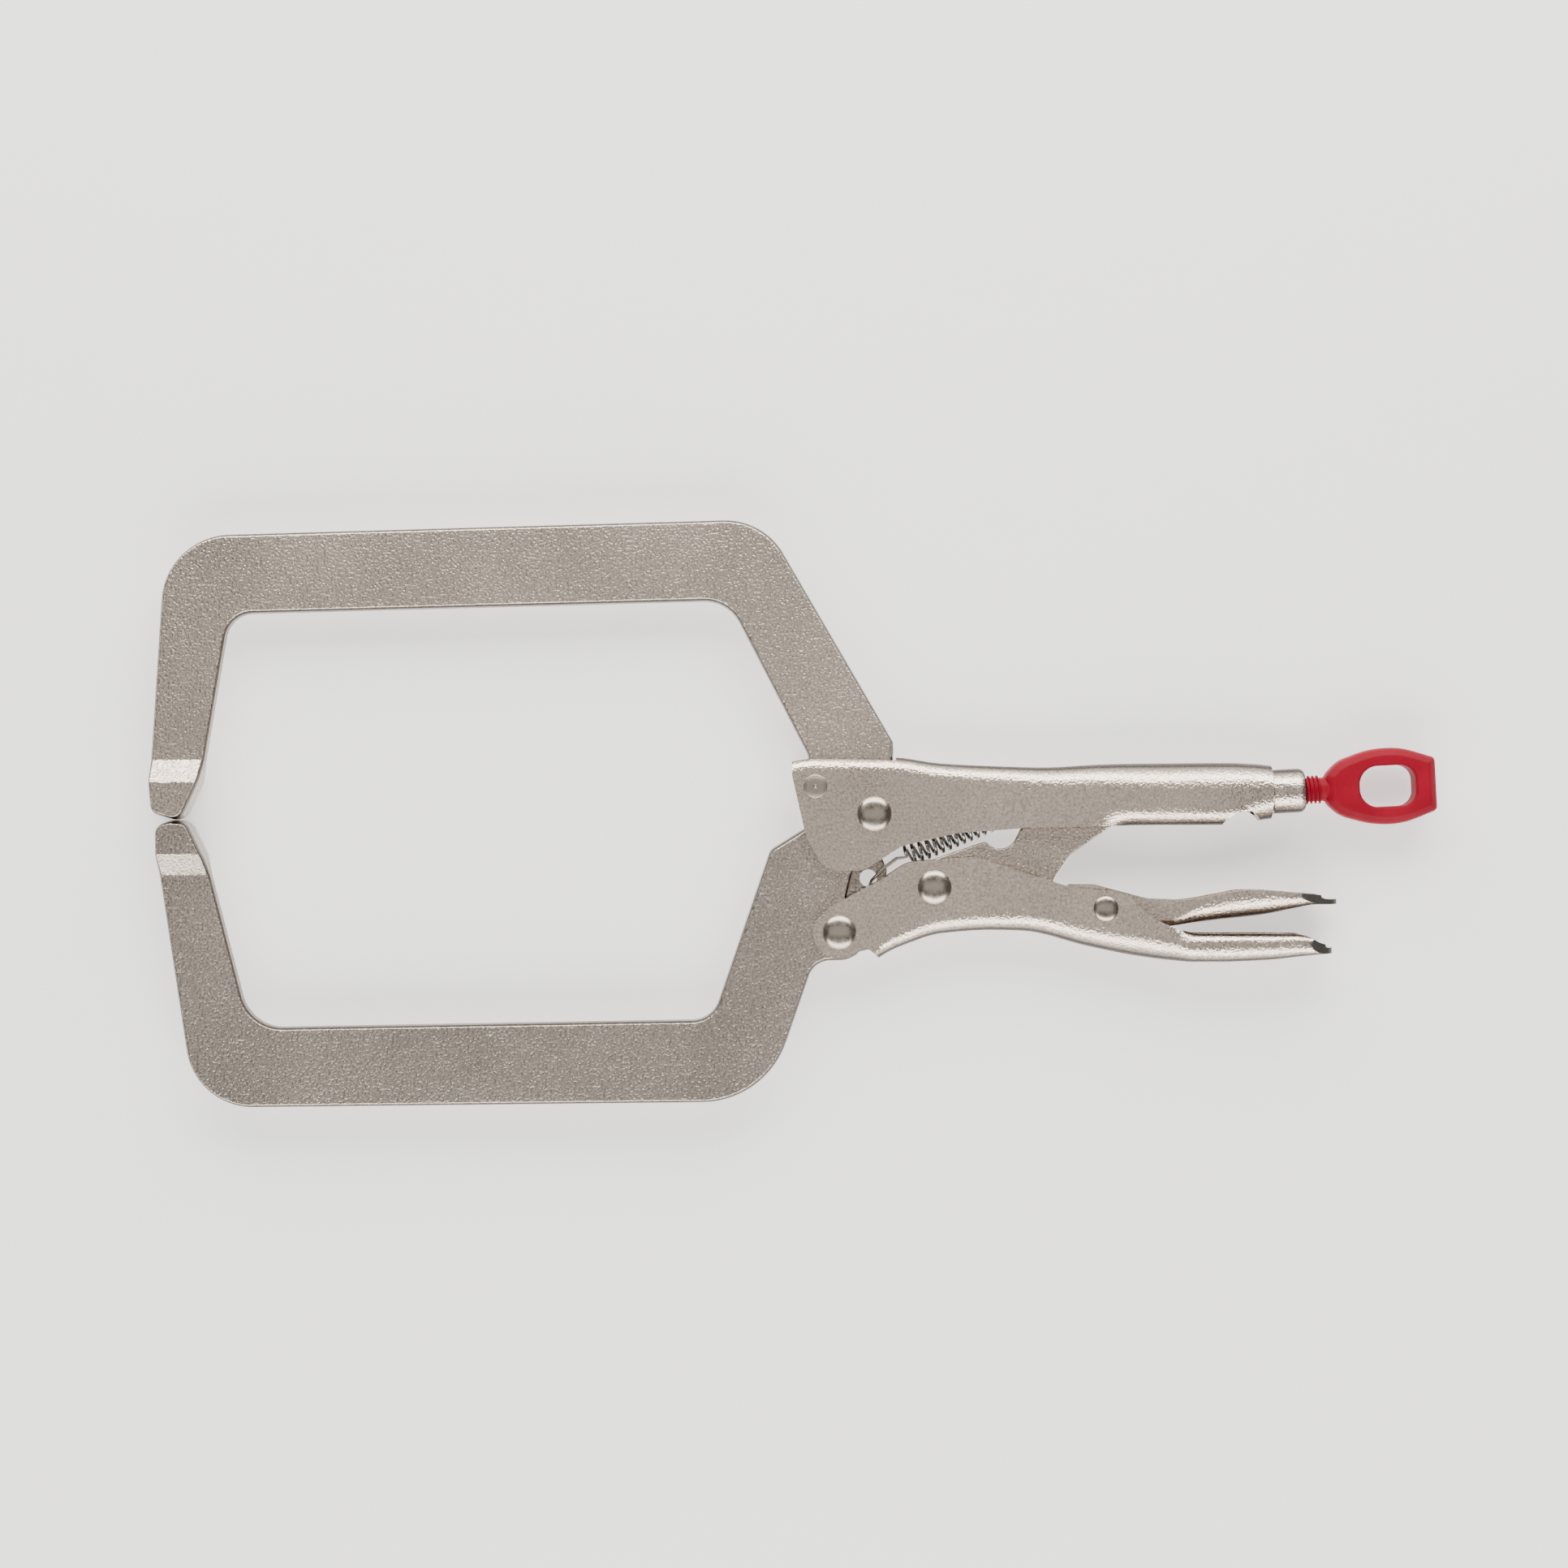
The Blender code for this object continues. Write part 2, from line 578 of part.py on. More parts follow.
def make_release_lever():
    """Small channel nested in the lower handle, its tail flattening to a finger tab."""
    stations = [
        (69.0, -41.0, -24.0, 4.6, 2.6, 0.0, 4.0),
        (100.0, -40.8, -24.0, 4.8, 3.0, 0.0, 4.0),
        (107.0, -40.0, -30.8, 5.2, 3.4, 0.0, 3.0),
        (114.0, -39.0, -30.2, 6.6, 4.6, 0.0, 2.0),
        (122.0, -38.0, -28.8, 7.8, 5.6, 0.0, 2.0),
        (132.5, -36.9, -27.2, 8.4, 6.2, 0.0, 1.6),
        (140.0, -35.9, -27.4, 8.6, 5.8, 0.0, 1.4),
        (149.0, -33.9, -28.1, 8.6, 3.6, 0.0, 1.0),
        (157.0, -32.4, -28.7, 8.3, 2.4, 0.0, 0.5),
        (165.4, -32.2, -29.6, 7.6, 2.0, 0.0, 0.2),
    ]
    lengths = [69.0, 84.0, 97.0, *spread(103.0, 125.0, 5), *spread(130.0, 165.4, 8)]
    body = channel("release_lever", stations, lengths, 1.8)
    side = [
        (69.4, -25.2, 1.2), (68.6, -29.5, 3.0), (74.5, -36.0, 4.0), (78.0, -41.0, 4.0),
        (100.0, -43.0, 0.0), (180.0, -43.0, 0.0), (180.0, -20.0, 0.0), (114.0, -20.0, 0.0),
        (108.0, -30.7, 0.0), (98.0, -30.4, 8.0), (88.0, -27.7, 8.0), (79.0, -25.3, 4.0),
    ]
    trim = plate("release_side", rounded(side), -20.0, 20.0)
    combined(body, trim, "INTERSECT")
    outline = [
        (60.0, 20.0, 0.0), (60.0, -20.0, 0.0), (150.0, -20.0, 0.0), (150.0, -9.6, 0.0),
        (156.5, -8.6, 6.0), (165.2, -5.0, 4.0), (165.2, 5.0, 4.0), (156.5, 8.6, 6.0),
        (150.0, 9.6, 0.0), (150.0, 20.0, 0.0),
    ]
    plan = plate("release_plan", rounded(outline), -70.0, 0.0)
    plan.data.transform(Matrix.Rotation(math.radians(90.0), 4, "X"))
    plan.data.transform(Matrix.Translation((0.0, -0.07, 0.0)))
    combined(body, plan, "INTERSECT")
    drill(body, RELEASE_PIVOT, 2.7, "release_bore")
    return finish(body, "pressed", RELEASE)


# ---------------------------------------------------------------- toggle link

def make_toggle_link():
    """Flat link with an eye at the lever, a finger notch on top and a heel below."""
    eye = arc(LINK_PIVOT, 9.3, 290.0, 110.0)
    nose = arc(LINK_NOSE, NOSE_R, 120.0, -58.0)
    outline = [
        *eye, (38.6, -10.3, 1.5), *arc((45.0, -6.2), 6.3, 215.0, 325.0)[1:-1],
        (52.4, -5.6, 1.5), (55.4, -3.6, 4.0), *nose, (69.5, -15.0, 8.0), (64.0, -23.0, 8.0),
        (63.0, -28.6, 2.5), (56.0, -31.4, 6.0), (38.0, -33.0, 20.0),
    ]
    link = plate("toggle_link", rounded(outline), -LINK_HALF, LINK_HALF)
    bevelled(link, 0.6, 1)
    drill(link, LINK_PIVOT, RIVET_HOLE_R, "link_bore")
    return finish(link, "forged", LINK)


# ---------------------------------------------------------------- rivets and pin

def rivet(name, centre, head_r, wall, parent, shank_r=SHANK_R, dome=DOME_HEIGHT):
    """Domed rivet: the heads stand just clear of the two channel walls."""
    seat = wall + HEAD_GAP
    crown = [polar((0.0, 0.0), 1.0, angle) for angle in (62, 34, 6)]
    top = [(0.0, seat + dome)] + [(head_r * r, seat + dome * h) for r, h in crown]
    top += [(head_r - 0.15, seat), (shank_r, seat)]
    profile = top + [(r, -h) for r, h in reversed(top)]
    piece = turned(name, profile)
    piece.data.transform(Matrix.Translation((centre[0] * MM, centre[1] * MM, 0.0)))
    return finish(piece, "polished", parent)


def make_jaw_pin():
    """Flat-headed pin with a turned rim and a centre mark."""
    seat = WALL_OUT + HEAD_GAP
    top = [
        (0.0, seat + 0.35), (0.7, seat + 0.7), (3.5, seat + 0.7), (3.7, seat + 0.4), (3.9, seat + 0.4),
        (4.25, seat + 0.2), (4.25, seat), (3.0, seat),
    ]
    piece = turned("jaw_pin", top + [(r, -h) for r, h in reversed(top)])
    piece.data.transform(Matrix.Translation((JAW_PIN[0] * MM, JAW_PIN[1] * MM, 0.0)))
    return finish(piece, "polished")


# ---------------------------------------------------------------- collar, screw and ring

def along_screw(obj):
    """Lay a piece that was turned about Z along the tilted screw axis."""
    obj.data.transform(Matrix.Rotation(math.radians(90.0), 4, "Y"))
    obj.data.transform(Matrix.Rotation(SCREW_TILT, 4, "Z"))
    obj.data.transform(Matrix.Translation((SCREW_POINT[0] * MM, SCREW_POINT[1] * MM, 0.0)))
    return obj


def make_collar():
    """Stepped threaded insert that closes the back of the grip."""
    profile = [
        (COLLAR_BORE_R, COLLAR_END + 0.3), (6.0, COLLAR_END), (7.1, COLLAR_END - 1.2),
        (COLLAR_OUTER_R, COLLAR_END - 2.2), (COLLAR_OUTER_R, COLLAR_STEP),
        (COLLAR_INNER_R, COLLAR_STEP), (COLLAR_INNER_R, COLLAR_START),
        (COLLAR_BORE_R, COLLAR_START), (COLLAR_BORE_R, COLLAR_END + 0.3),
    ]
    collar = along_screw(turned("threaded_collar", profile))
    return finish(collar, "pressed")


def helical_ridge(name, start, turns, steps):
    """The thread: a triangle section wound about Z, its two ends closed."""
    mesh = bpy.data.meshes.new(name)
    low = start - THREAD_PITCH * 0.42
    high = start + THREAD_PITCH * 0.42
    sunk = THREAD_ROOT_R - 0.3
    corners = [(sunk, high), (THREAD_R, start + 0.12), (THREAD_R, start - 0.12), (sunk, low)]
    mesh.from_pydata([(r * MM, 0.0, z * MM) for r, z in corners], [(0, 1), (1, 2), (2, 3), (3, 0)], [])
    obj = add_object(name, mesh)
    screw = obj.modifiers.new("wind", "SCREW")
    screw.axis = "Z"
    screw.steps = steps
    screw.render_steps = steps
    screw.iterations = turns
    screw.screw_offset = THREAD_PITCH * MM
    settle(obj)
    bm = bmesh.new()
    bm.from_mesh(obj.data)
    bmesh.ops.remove_doubles(bm, verts=bm.verts, dist=0.00001)
    bmesh.ops.holes_fill(bm, edges=bm.edges, sides=4)
    bmesh.ops.recalc_face_normals(bm, faces=bm.faces)
    bm.to_mesh(obj.data)
    bm.free()
    return obj


def make_adjusting_screw():
    """Inner length of the screw, carried along the axis by the thread."""
    tip = 3.4
    profile = [
        (0.0, SHANK_END), (THREAD_R - 0.4, SHANK_END), (THREAD_R, SHANK_END - 0.5),
        (THREAD_R, SHANK_START + 4.0), (tip, SHANK_START + 1.6), (tip, SHANK_START + 0.4),
        (tip - 0.6, SHANK_START), (0.0, SHANK_START),
    ]
    shank = along_screw(turned("adjusting_screw", profile, 20))
    return finish(shank, "screw", SCREW)


def make_screw_ring():
    """Forged ring with the outer, coated threads of the screw."""
    half = [
        (9.2, 5.0, 4.0), (14.0, 9.8, 13.0), (26.0, 13.7, 34.0), (36.5, 13.7, 28.0), (48.8, 9.4, 2.0),
    ]
    outline = half + [(u, -v, r) for u, v, r in reversed(half)]
    ring = plate("screw_ring", rounded(outline), -RING_HALF, RING_HALF)
    bevelled(ring, 2.2, 2)
    eye = [(21.2, 7.3, 6.6), (41.0, 7.3, 5.4), (41.0, -7.3, 5.4), (21.2, -7.3, 6.6)]
    hole = plate("ring_eye", rounded(eye), -20.0, 20.0)
    combined(ring, hole, "DIFFERENCE")
    core = turned("stub_core", [
        (0.0, 16.1), (5.7, 16.1), (5.5, 12.6), (4.7, 9.3), (THREAD_ROOT_R, 8.8),
        (THREAD_ROOT_R, STUB_START + 0.5), (THREAD_ROOT_R - 0.5, STUB_START), (0.0, STUB_START),
    ], 18)
    ridge = helical_ridge("stub_thread", STUB_START + 1.2, 7, 18)
    combined(core, ridge, "UNION")
    core.data.transform(Matrix.Rotation(math.radians(7.0), 4, "Z"))
    core.data.transform(Matrix.Rotation(math.radians(90.0), 4, "Y"))
    combined(ring, core, "UNION")
    ring.data.transform(Matrix.Rotation(SCREW_TILT, 4, "Z"))
    ring.data.transform(Matrix.Translation((SCREW_POINT[0] * MM, SCREW_POINT[1] * MM, 0.0)))
    return finish(ring, "coated", SCREW)


# ---------------------------------------------------------------- spring

def make_spring():
    """Coil spring from the tab of the lower jaw to the lug inside the handle."""
    start = Vector((11.6, -15.4))
    end = Vector((56.6, 3.6))
    axis = (end - start).normalized()
    across = Vector((-axis.y, axis.x))
    length = (end - start).length
    points = []
    hole = Vector((*SPRING_HOLE, 0.0))
    points += [hole + Vector((0.6, -2.0, -3.0)), hole + Vector((0.9, -1.4, 0.0))]
    points += [hole + Vector((1.4, -0.6, 3.4))]
    points += [Vector((3.4, -19.4, 3.6)), Vector((8.0, -15.9, 3.5))]
    count = COIL_TURNS * COIL_STEPS
    for i in range(count + 1):
        turn = 2.0 * math.pi * i / COIL_STEPS
        centre = start + axis * (length * i / count)
        lift = across * (COIL_R * math.sin(turn))
        points.append(Vector((centre.x + lift.x, centre.y + lift.y, COIL_R * math.cos(turn))))
    points += [Vector((59.8, 6.6, 3.2)), Vector((63.0, 9.0, 2.0))]
    points += [Vector((63.6, 9.5, 0.0)), Vector((63.9, 9.6, -2.6))]
    curve = bpy.data.curves.new("return_spring", "CURVE")
    curve.dimensions = "3D"
    curve.bevel_depth = WIRE_R * MM
    curve.bevel_resolution = 1
    curve.use_fill_caps = True
    spline = curve.splines.new("POLY")
    spline.points.add(len(points) - 1)
    for target, point in zip(spline.points, points):
        target.co = (*(point * MM), 1.0)
    shape = bpy.data.objects.new("spring_curve", curve)
    CUTTERS.objects.link(shape)
    mesh = evaluated(shape)
    bpy.data.objects.remove(shape, do_unlink=True)
    bm = bmesh.new()
    bm.from_mesh(mesh)
    bmesh.ops.remove_doubles(bm, verts=bm.verts, dist=0.00001)
    bmesh.ops.recalc_face_normals(bm, faces=bm.faces)
    bm.to_mesh(mesh)
    bm.free()
    return finish(add_object("return_spring", mesh), "spring")


make_upper_jaw()
make_upper_handle()
make_jaw_pin()
rivet("main_rivet", MAIN_PIVOT, 6.1, WALL_OUT, None)
make_collar()
make_spring()
make_lower_jaw()
make_lower_handle()
rivet("lever_rivet", LEVER_PIVOT, 6.0, WALL_OUT, LEVER)
rivet("link_rivet", LINK_PIVOT, 6.0, 7.5, LEVER)
rivet("release_rivet", RELEASE_PIVOT, 4.45, 8.6, LEVER, 2.4, 1.2)
make_toggle_link()
make_release_lever()
make_adjusting_screw()
make_screw_ring()

CUTTERS.hide_render = True
bpy.context.view_layer.update()
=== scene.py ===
"""Looks of the locking C clamp: blasted nickel forgings and pressings, polished rivets, red ring."""

import json
import math

import bmesh
import bpy
from mathutils import Matrix, Vector


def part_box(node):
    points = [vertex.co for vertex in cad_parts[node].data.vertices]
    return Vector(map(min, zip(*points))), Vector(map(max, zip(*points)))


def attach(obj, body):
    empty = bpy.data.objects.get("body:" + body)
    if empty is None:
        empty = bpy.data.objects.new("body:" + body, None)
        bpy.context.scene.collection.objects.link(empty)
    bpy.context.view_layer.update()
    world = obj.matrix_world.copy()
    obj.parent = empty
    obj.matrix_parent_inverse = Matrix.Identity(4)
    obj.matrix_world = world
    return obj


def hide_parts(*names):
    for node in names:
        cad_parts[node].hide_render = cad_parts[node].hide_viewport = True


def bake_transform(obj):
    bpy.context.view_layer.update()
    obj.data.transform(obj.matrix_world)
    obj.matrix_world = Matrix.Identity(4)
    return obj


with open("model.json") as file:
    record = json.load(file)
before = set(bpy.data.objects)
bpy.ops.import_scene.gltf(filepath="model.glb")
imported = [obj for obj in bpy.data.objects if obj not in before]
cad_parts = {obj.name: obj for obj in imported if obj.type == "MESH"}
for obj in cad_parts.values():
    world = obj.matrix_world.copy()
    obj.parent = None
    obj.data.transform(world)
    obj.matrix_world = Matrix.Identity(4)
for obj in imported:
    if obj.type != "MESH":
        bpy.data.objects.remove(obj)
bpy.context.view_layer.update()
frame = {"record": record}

MM = 0.001
JOINTS = {joint["name"]: joint for joint in frame["record"]["behaviour"]["joints"]}
ORIGIN = Vector(JOINTS["jaw_pivot"]["pos_m"])


def from_pivot(point):
    """A frame point as millimetres about the main pivot, in the plane of the plates."""
    offset = (Vector(point) - ORIGIN) / MM
    return (offset.x, offset.y)


def centre_of(node):
    """Middle of a CAD node, seen from above."""
    low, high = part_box(node)
    return from_pivot((Vector(low) + Vector(high)) / 2.0)


# Lengths are in millimetres and places about the main pivot, unless a name or comment says otherwise.

# Pivots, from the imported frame
MAIN_PIVOT = (0.0, 0.0)
LEVER_PIVOT = from_pivot(JOINTS["lever_pivot"]["pos_m"])
LINK_PIVOT = from_pivot(JOINTS["link_pivot"]["pos_m"])
RELEASE_PIVOT = from_pivot(JOINTS["release_pivot"]["pos_m"])
SCREW_POINT = from_pivot(JOINTS["ring_turn"]["pos_m"])
SCREW_TILT = math.atan2(JOINTS["ring_turn"]["axis"][1], JOINTS["ring_turn"]["axis"][0])
JAW_PIN = centre_of("jaw_pin")

# Forged jaws
JAW_HALF = 4.75
TIP_HALF = 10.0
TAB_HALF = 2.3
SPRING_HOLE = (-2.1, -23.0)
SPRING_HOLE_R = 3.1
ROOT_R = 14.4
HUB_R = 12.6
LEVER_LUG_R = 10.3
TIP_FROM_X = -200.0
SHOULDER_SOFT = 0.09
UPPER_SHOULDER = (19.5, 10.9)
LOWER_SHOULDER = (-22.2, -14.1)

# Pressed channels
SHEET = 2.1
RELEASE_SHEET = 1.8
WALL_OUT = 7.3
WALL_IN = WALL_OUT - SHEET
GRIP_HALF = 10.0
SECTION_WALL = 5
SECTION_FOLD = 12
SECTION_LIP = 10
LEAST_CURL = 0.05
HANDLE_SPACING = 2.0
RELEASE_SPACING = 1.6
EAR_R = 9.4
JOGGLE_DEPTH = 0.6
JOGGLE_REACH = 12.0
TAIL_RIM_X = 150.5
RIM_SIDEWAYS = 0.12
RIM_BACKWARD = 0.16

# Rivets and pin
HEAD_GAP = 0.15
MAIN_HEAD_R = 6.1
HEAD_R = 6.0
HEAD_RISE = 1.9
SHANK_R = 3.2
SMALL_HEAD_R = 4.45
SMALL_HEAD_RISE = 1.2
SMALL_SHANK_R = 2.4
DOME_CROWN = 0.985
DOME_FULLNESS = 1.15
DOME_ANGLES = range(84, -1, -7)

# Collar, screw and ring, measured along the screw from the joint of the ring
THREAD_R = 5.15
THREAD_ROOT_R = 4.2
THREAD_PITCH = 1.5
THREAD_SUNK = 0.3
THREAD_MARGIN = 1.2
COLLAR_BORE_R = 5.4
COLLAR_INNER_R = 6.7
COLLAR_OUTER_R = 7.9
COLLAR_START = -34.0
COLLAR_STEP = -9.5
COLLAR_END = 1.9
SHANK_START = -54.4
SHANK_END = -4.3
SHANK_TIP_R = 3.4
SHANK_PLAIN = 5.2
SHANK_THREAD_STEPS = 40
STUB_START = -4.0
STUB_STEPS = 56
STUB_TURNS = 7
STUB_TWIST = 7.0
RING_HALF = 6.3

# Toggle link
LINK_HALF = 3.0
LINK_NOSE = (89.8, 5.2)
LINK_EYE_R = 9.3
NOSE_R = 5.0
NOTCH = (45.0, -6.2)
NOTCH_R = 6.3

# Spring, and the lug for it inside the handle
SPRING_LUG = (63.5, 9.4)
LUG_BORE_R = 1.4
LUG_HALF = 1.2
WIRE_R = 0.62
COIL_R = 3.45
COIL_TURNS = 18
COIL_STEPS = 28
COIL_FROM = (11.6, -15.4)
COIL_TO = (56.6, 3.6)

# Modelling
ARC_STEP = math.radians(4.0)
LEAST_TURN = 0.01
LEAST_RADIUS = 0.04
ROUND_STEPS = 72
CREASE = math.radians(33.0)
MERGE = 0.005 * MM
THROUGH = 20.0
PLAN_DEPTH = 70.0
BORE_STEPS = 48
EVEN_WEIGHT = 60


# ---------------------------------------------------------------- shader helpers

def new_material(name):
    """A material with its node tree, its shader and the coordinates that its patterns hang on."""
    mat = bpy.data.materials.new(name)
    mat.use_nodes = True
    tree = mat.node_tree
    coords = tree.nodes.new("ShaderNodeTexCoord").outputs["Object"]
    return mat, tree, tree.nodes["Principled BSDF"], coords


def noise(tree, coords, scale, detail, roughness):
    texture = tree.nodes.new("ShaderNodeTexNoise")
    texture.inputs["Scale"].default_value = scale
    texture.inputs["Detail"].default_value = detail
    texture.inputs["Roughness"].default_value = roughness
    tree.links.new(coords, texture.inputs["Vector"])
    return texture.outputs["Fac"]


def spread_value(tree, value, low, high, from_low=0.0, from_high=1.0):
    """Spread a value from one range onto another."""
    node = tree.nodes.new("ShaderNodeMapRange")
    node.inputs["From Min"].default_value = from_low
    node.inputs["From Max"].default_value = from_high
    node.inputs["To Min"].default_value = low
    node.inputs["To Max"].default_value = high
    tree.links.new(value, node.inputs["Value"])
    return node.outputs["Result"]


def mix_colours(tree, value, first, second):
    """Mix two colours; either may be a socket or an (r, g, b) value."""
    node = tree.nodes.new("ShaderNodeMix")
    node.data_type = "RGBA"
    colour_inputs = [socket for socket in node.inputs if socket.type == "RGBA"]
    for socket, colour in zip(colour_inputs, (first, second)):
        if isinstance(colour, tuple):
            socket.default_value = (*colour, 1.0)
        else:
            tree.links.new(colour, socket)
    tree.links.new(value, node.inputs["Factor"])
    return [socket for socket in node.outputs if socket.type == "RGBA"][0]


def bump(tree, height, strength, distance, below=None):
    """Surface relief from a height, on top of the relief below if there is one."""
    node = tree.nodes.new("ShaderNodeBump")
    node.inputs["Strength"].default_value = strength
    node.inputs["Distance"].default_value = distance
    tree.links.new(height, node.inputs["Height"])
    if below is not None:
        tree.links.new(below, node.inputs["Normal"])
    return node.outputs["Normal"]


def connect(tree, shader, colour, roughness, relief, metallic):
    """Wire up the inputs that vary over the surface and set the metalness."""
    tree.links.new(colour, shader.inputs["Base Color"])
    tree.links.new(roughness, shader.inputs["Roughness"])
    tree.links.new(relief, shader.inputs["Normal"])
    shader.inputs["Metallic"].default_value = metallic


# Share of painted shade against how far a face turns up: upright sides, rounded edges, flat faces
PAINTED_SHADE_PROFILE = ((0.04, 0.25), (0.22, 1.0), (0.50, 1.0), (0.86, 0.0))


def grey(value):
    return (value, value, value, 1.0)


def painted_edge_shade(tree):
    """Mask of painted shade: 1 on the rounded edges, 0 on faces in the plane of the plates, less on
    upright sides.
    """
    split = tree.nodes.new("ShaderNodeSeparateXYZ")
    tree.links.new(tree.nodes.new("ShaderNodeTexCoord").outputs["Normal"], split.inputs["Vector"])
    upward = tree.nodes.new("ShaderNodeMath")
    upward.operation = "ABSOLUTE"
    tree.links.new(split.outputs["Z"], upward.inputs[0])
    profile = tree.nodes.new("ShaderNodeValToRGB")
    stops = profile.color_ramp.elements
    (first, first_share), *middle, (last, last_share) = PAINTED_SHADE_PROFILE
    stops[0].position = first
    stops[0].color = grey(first_share)
    stops[1].position = last
    stops[1].color = grey(last_share)
    for position, share in middle:
        stops.new(position).color = grey(share)
    tree.links.new(upward.outputs["Value"], profile.inputs["Fac"])
    return profile.outputs["Color"]


# ---------------------------------------------------------------- materials

# Painted shade: dark brown mixed onto rounded edges and upright sides, standing in for the dark
# reflections there
PAINTED_SHADE_BROWN = (0.055, 0.042, 0.032)


def blasted_nickel(name, dark, light, rough, grain=1.0):
    """Satin nickel over shot-blasted steel: fine grain, faint clouds, painted shade on the rounded
    edges and upright sides.
    """
    mat, tree, shader, coords = new_material(name)
    fine = noise(tree, coords, scale=3200.0, detail=1.0, roughness=0.5)
    coarse = noise(tree, coords, scale=1150.0, detail=1.0, roughness=0.5)
    clouds = noise(tree, coords, scale=24.0, detail=4.0, roughness=0.5)
    shade = spread_value(tree, coarse, 0.0, 1.0, from_low=0.30, from_high=0.66)
    # Painted shade: the edge mask mixes dark brown over the grain colour
    tint = mix_colours(tree, painted_edge_shade(tree), mix_colours(tree, shade, dark, light), PAINTED_SHADE_BROWN)
    gloss = spread_value(tree, clouds, rough - 0.04, rough + 0.04, from_low=0.3, from_high=0.7)
    grains = bump(tree, coarse, strength=0.9 * grain, distance=0.00036)
    relief = bump(tree, fine, strength=0.12 * grain, distance=0.00014, below=grains)
    connect(tree, shader, tint, gloss, relief, metallic=1.0)
    return mat


def polished_steel(name):
    """Rivet heads: bright, with light handling marks."""
    mat, tree, shader, coords = new_material(name)
    wear = noise(tree, coords, scale=420.0, detail=5.0, roughness=0.65)
    dents = noise(tree, coords, scale=210.0, detail=1.0, roughness=0.4)
    tint = mix_colours(tree, wear, (0.47, 0.41, 0.345), (0.61, 0.55, 0.475))
    gloss = spread_value(tree, wear, 0.22, 0.34, from_low=0.35, from_high=0.7)
    relief = bump(tree, dents, strength=0.22, distance=0.0006)
    connect(tree, shader, tint, gloss, relief, metallic=1.0)
    return mat


def turned_steel(name):
    """Flat pin head: dull, with fine turning marks."""
    mat, tree, shader, coords = new_material(name)
    wear = noise(tree, coords, scale=900.0, detail=3.0, roughness=0.6)
    tint = mix_colours(tree, wear, (0.36, 0.315, 0.275), (0.48, 0.43, 0.38))
    gloss = spread_value(tree, wear, 0.36, 0.50)
    relief = bump(tree, wear, strength=0.25, distance=0.0001)
    connect(tree, shader, tint, gloss, relief, metallic=1.0)
    return mat


def bright_wire(name):
    """Spring wire and bare thread: bright steel with faint streaks."""
    mat, tree, shader, coords = new_material(name)
    streak = noise(tree, coords, scale=1300.0, detail=2.0, roughness=0.5)
    tint = mix_colours(tree, streak, (0.34, 0.34, 0.33), (0.58, 0.58, 0.56))
    gloss = spread_value(tree, streak, 0.14, 0.28)
    relief = bump(tree, streak, strength=0.10, distance=0.0001)
    connect(tree, shader, tint, gloss, relief, metallic=1.0)
    return mat


def powder_coat(name):
    """Red coating with fine orange-peel and a little unevenness."""
    mat, tree, shader, coords = new_material(name)
    peel = noise(tree, coords, scale=1500.0, detail=2.0, roughness=0.5)
    blotch = noise(tree, coords, scale=110.0, detail=3.0, roughness=0.5)
    shade = spread_value(tree, blotch, 0.0, 1.0, from_low=0.3, from_high=0.7)
    tint = mix_colours(tree, shade, (0.26, 0.0045, 0.017), (0.32, 0.006, 0.024))
    gloss = spread_value(tree, blotch, 0.42, 0.56)
    relief = bump(tree, peel, strength=0.35, distance=0.00016)
    connect(tree, shader, tint, gloss, relief, metallic=0.0)
    shader.inputs["Specular IOR Level"].default_value = 0.12
    return mat


def cut_steel(name):
    """Sheared sheet edges: dark, with fine upright tearing."""
    mat, tree, shader, coords = new_material(name)
    tear = noise(tree, coords, scale=1800.0, detail=3.0, roughness=0.6)
    tint = mix_colours(tree, tear, (0.055, 0.052, 0.047), (0.15, 0.14, 0.125))
    gloss = spread_value(tree, tear, 0.38, 0.6)
    relief = bump(tree, tear, strength=0.4, distance=0.00015)
    connect(tree, shader, tint, gloss, relief, metallic=0.8)
    return mat


FORGED = blasted_nickel(
    "forged_nickel_look", dark=(0.52, 0.44, 0.375), light=(0.93, 0.805, 0.705), rough=0.31)
# A darker copy of the forging look: painted shade for the lower jaw, which is the same nickel as the
# upper one
FORGED_SHADED = blasted_nickel(
    "shaded_lower_forging_look", dark=(0.38, 0.325, 0.285), light=(0.72, 0.63, 0.56), rough=0.33)
SHEET_LOOK = blasted_nickel(
    "sheet_nickel_look", dark=(0.62, 0.52, 0.445), light=(0.98, 0.85, 0.745), rough=0.29, grain=0.8)
POLISHED = polished_steel("polished_rivet_look")
TURNED = turned_steel("turned_pin_look")
WIRE = bright_wire("spring_wire_look")
RED = powder_coat("red_coating_look")
CUT = cut_steel("cut_edge_look")


# ---------------------------------------------------------------- 2D outlines

def polar(centre, radius, degrees):
    angle = math.radians(degrees)
    return (centre[0] + radius * math.cos(angle), centre[1] + radius * math.sin(angle))


def arc(centre, radius, start, end):
    """Points along an arc, angles in degrees, as sharp outline corners."""
    count = max(2, math.ceil(abs(math.radians(end - start)) / ARC_STEP))
    turns = [start + (end - start) * i / count for i in range(count + 1)]
    return [(*polar(centre, radius, turn), 0.0) for turn in turns]


def signed_area(corners):
    """Area of an outline, positive when it runs counterclockwise."""
    total = 0.0
    for i, corner in enumerate(corners):
        last = corners[i - 1]
        total += last[0] * corner[1] - corner[0] * last[1]
    return total / 2.0


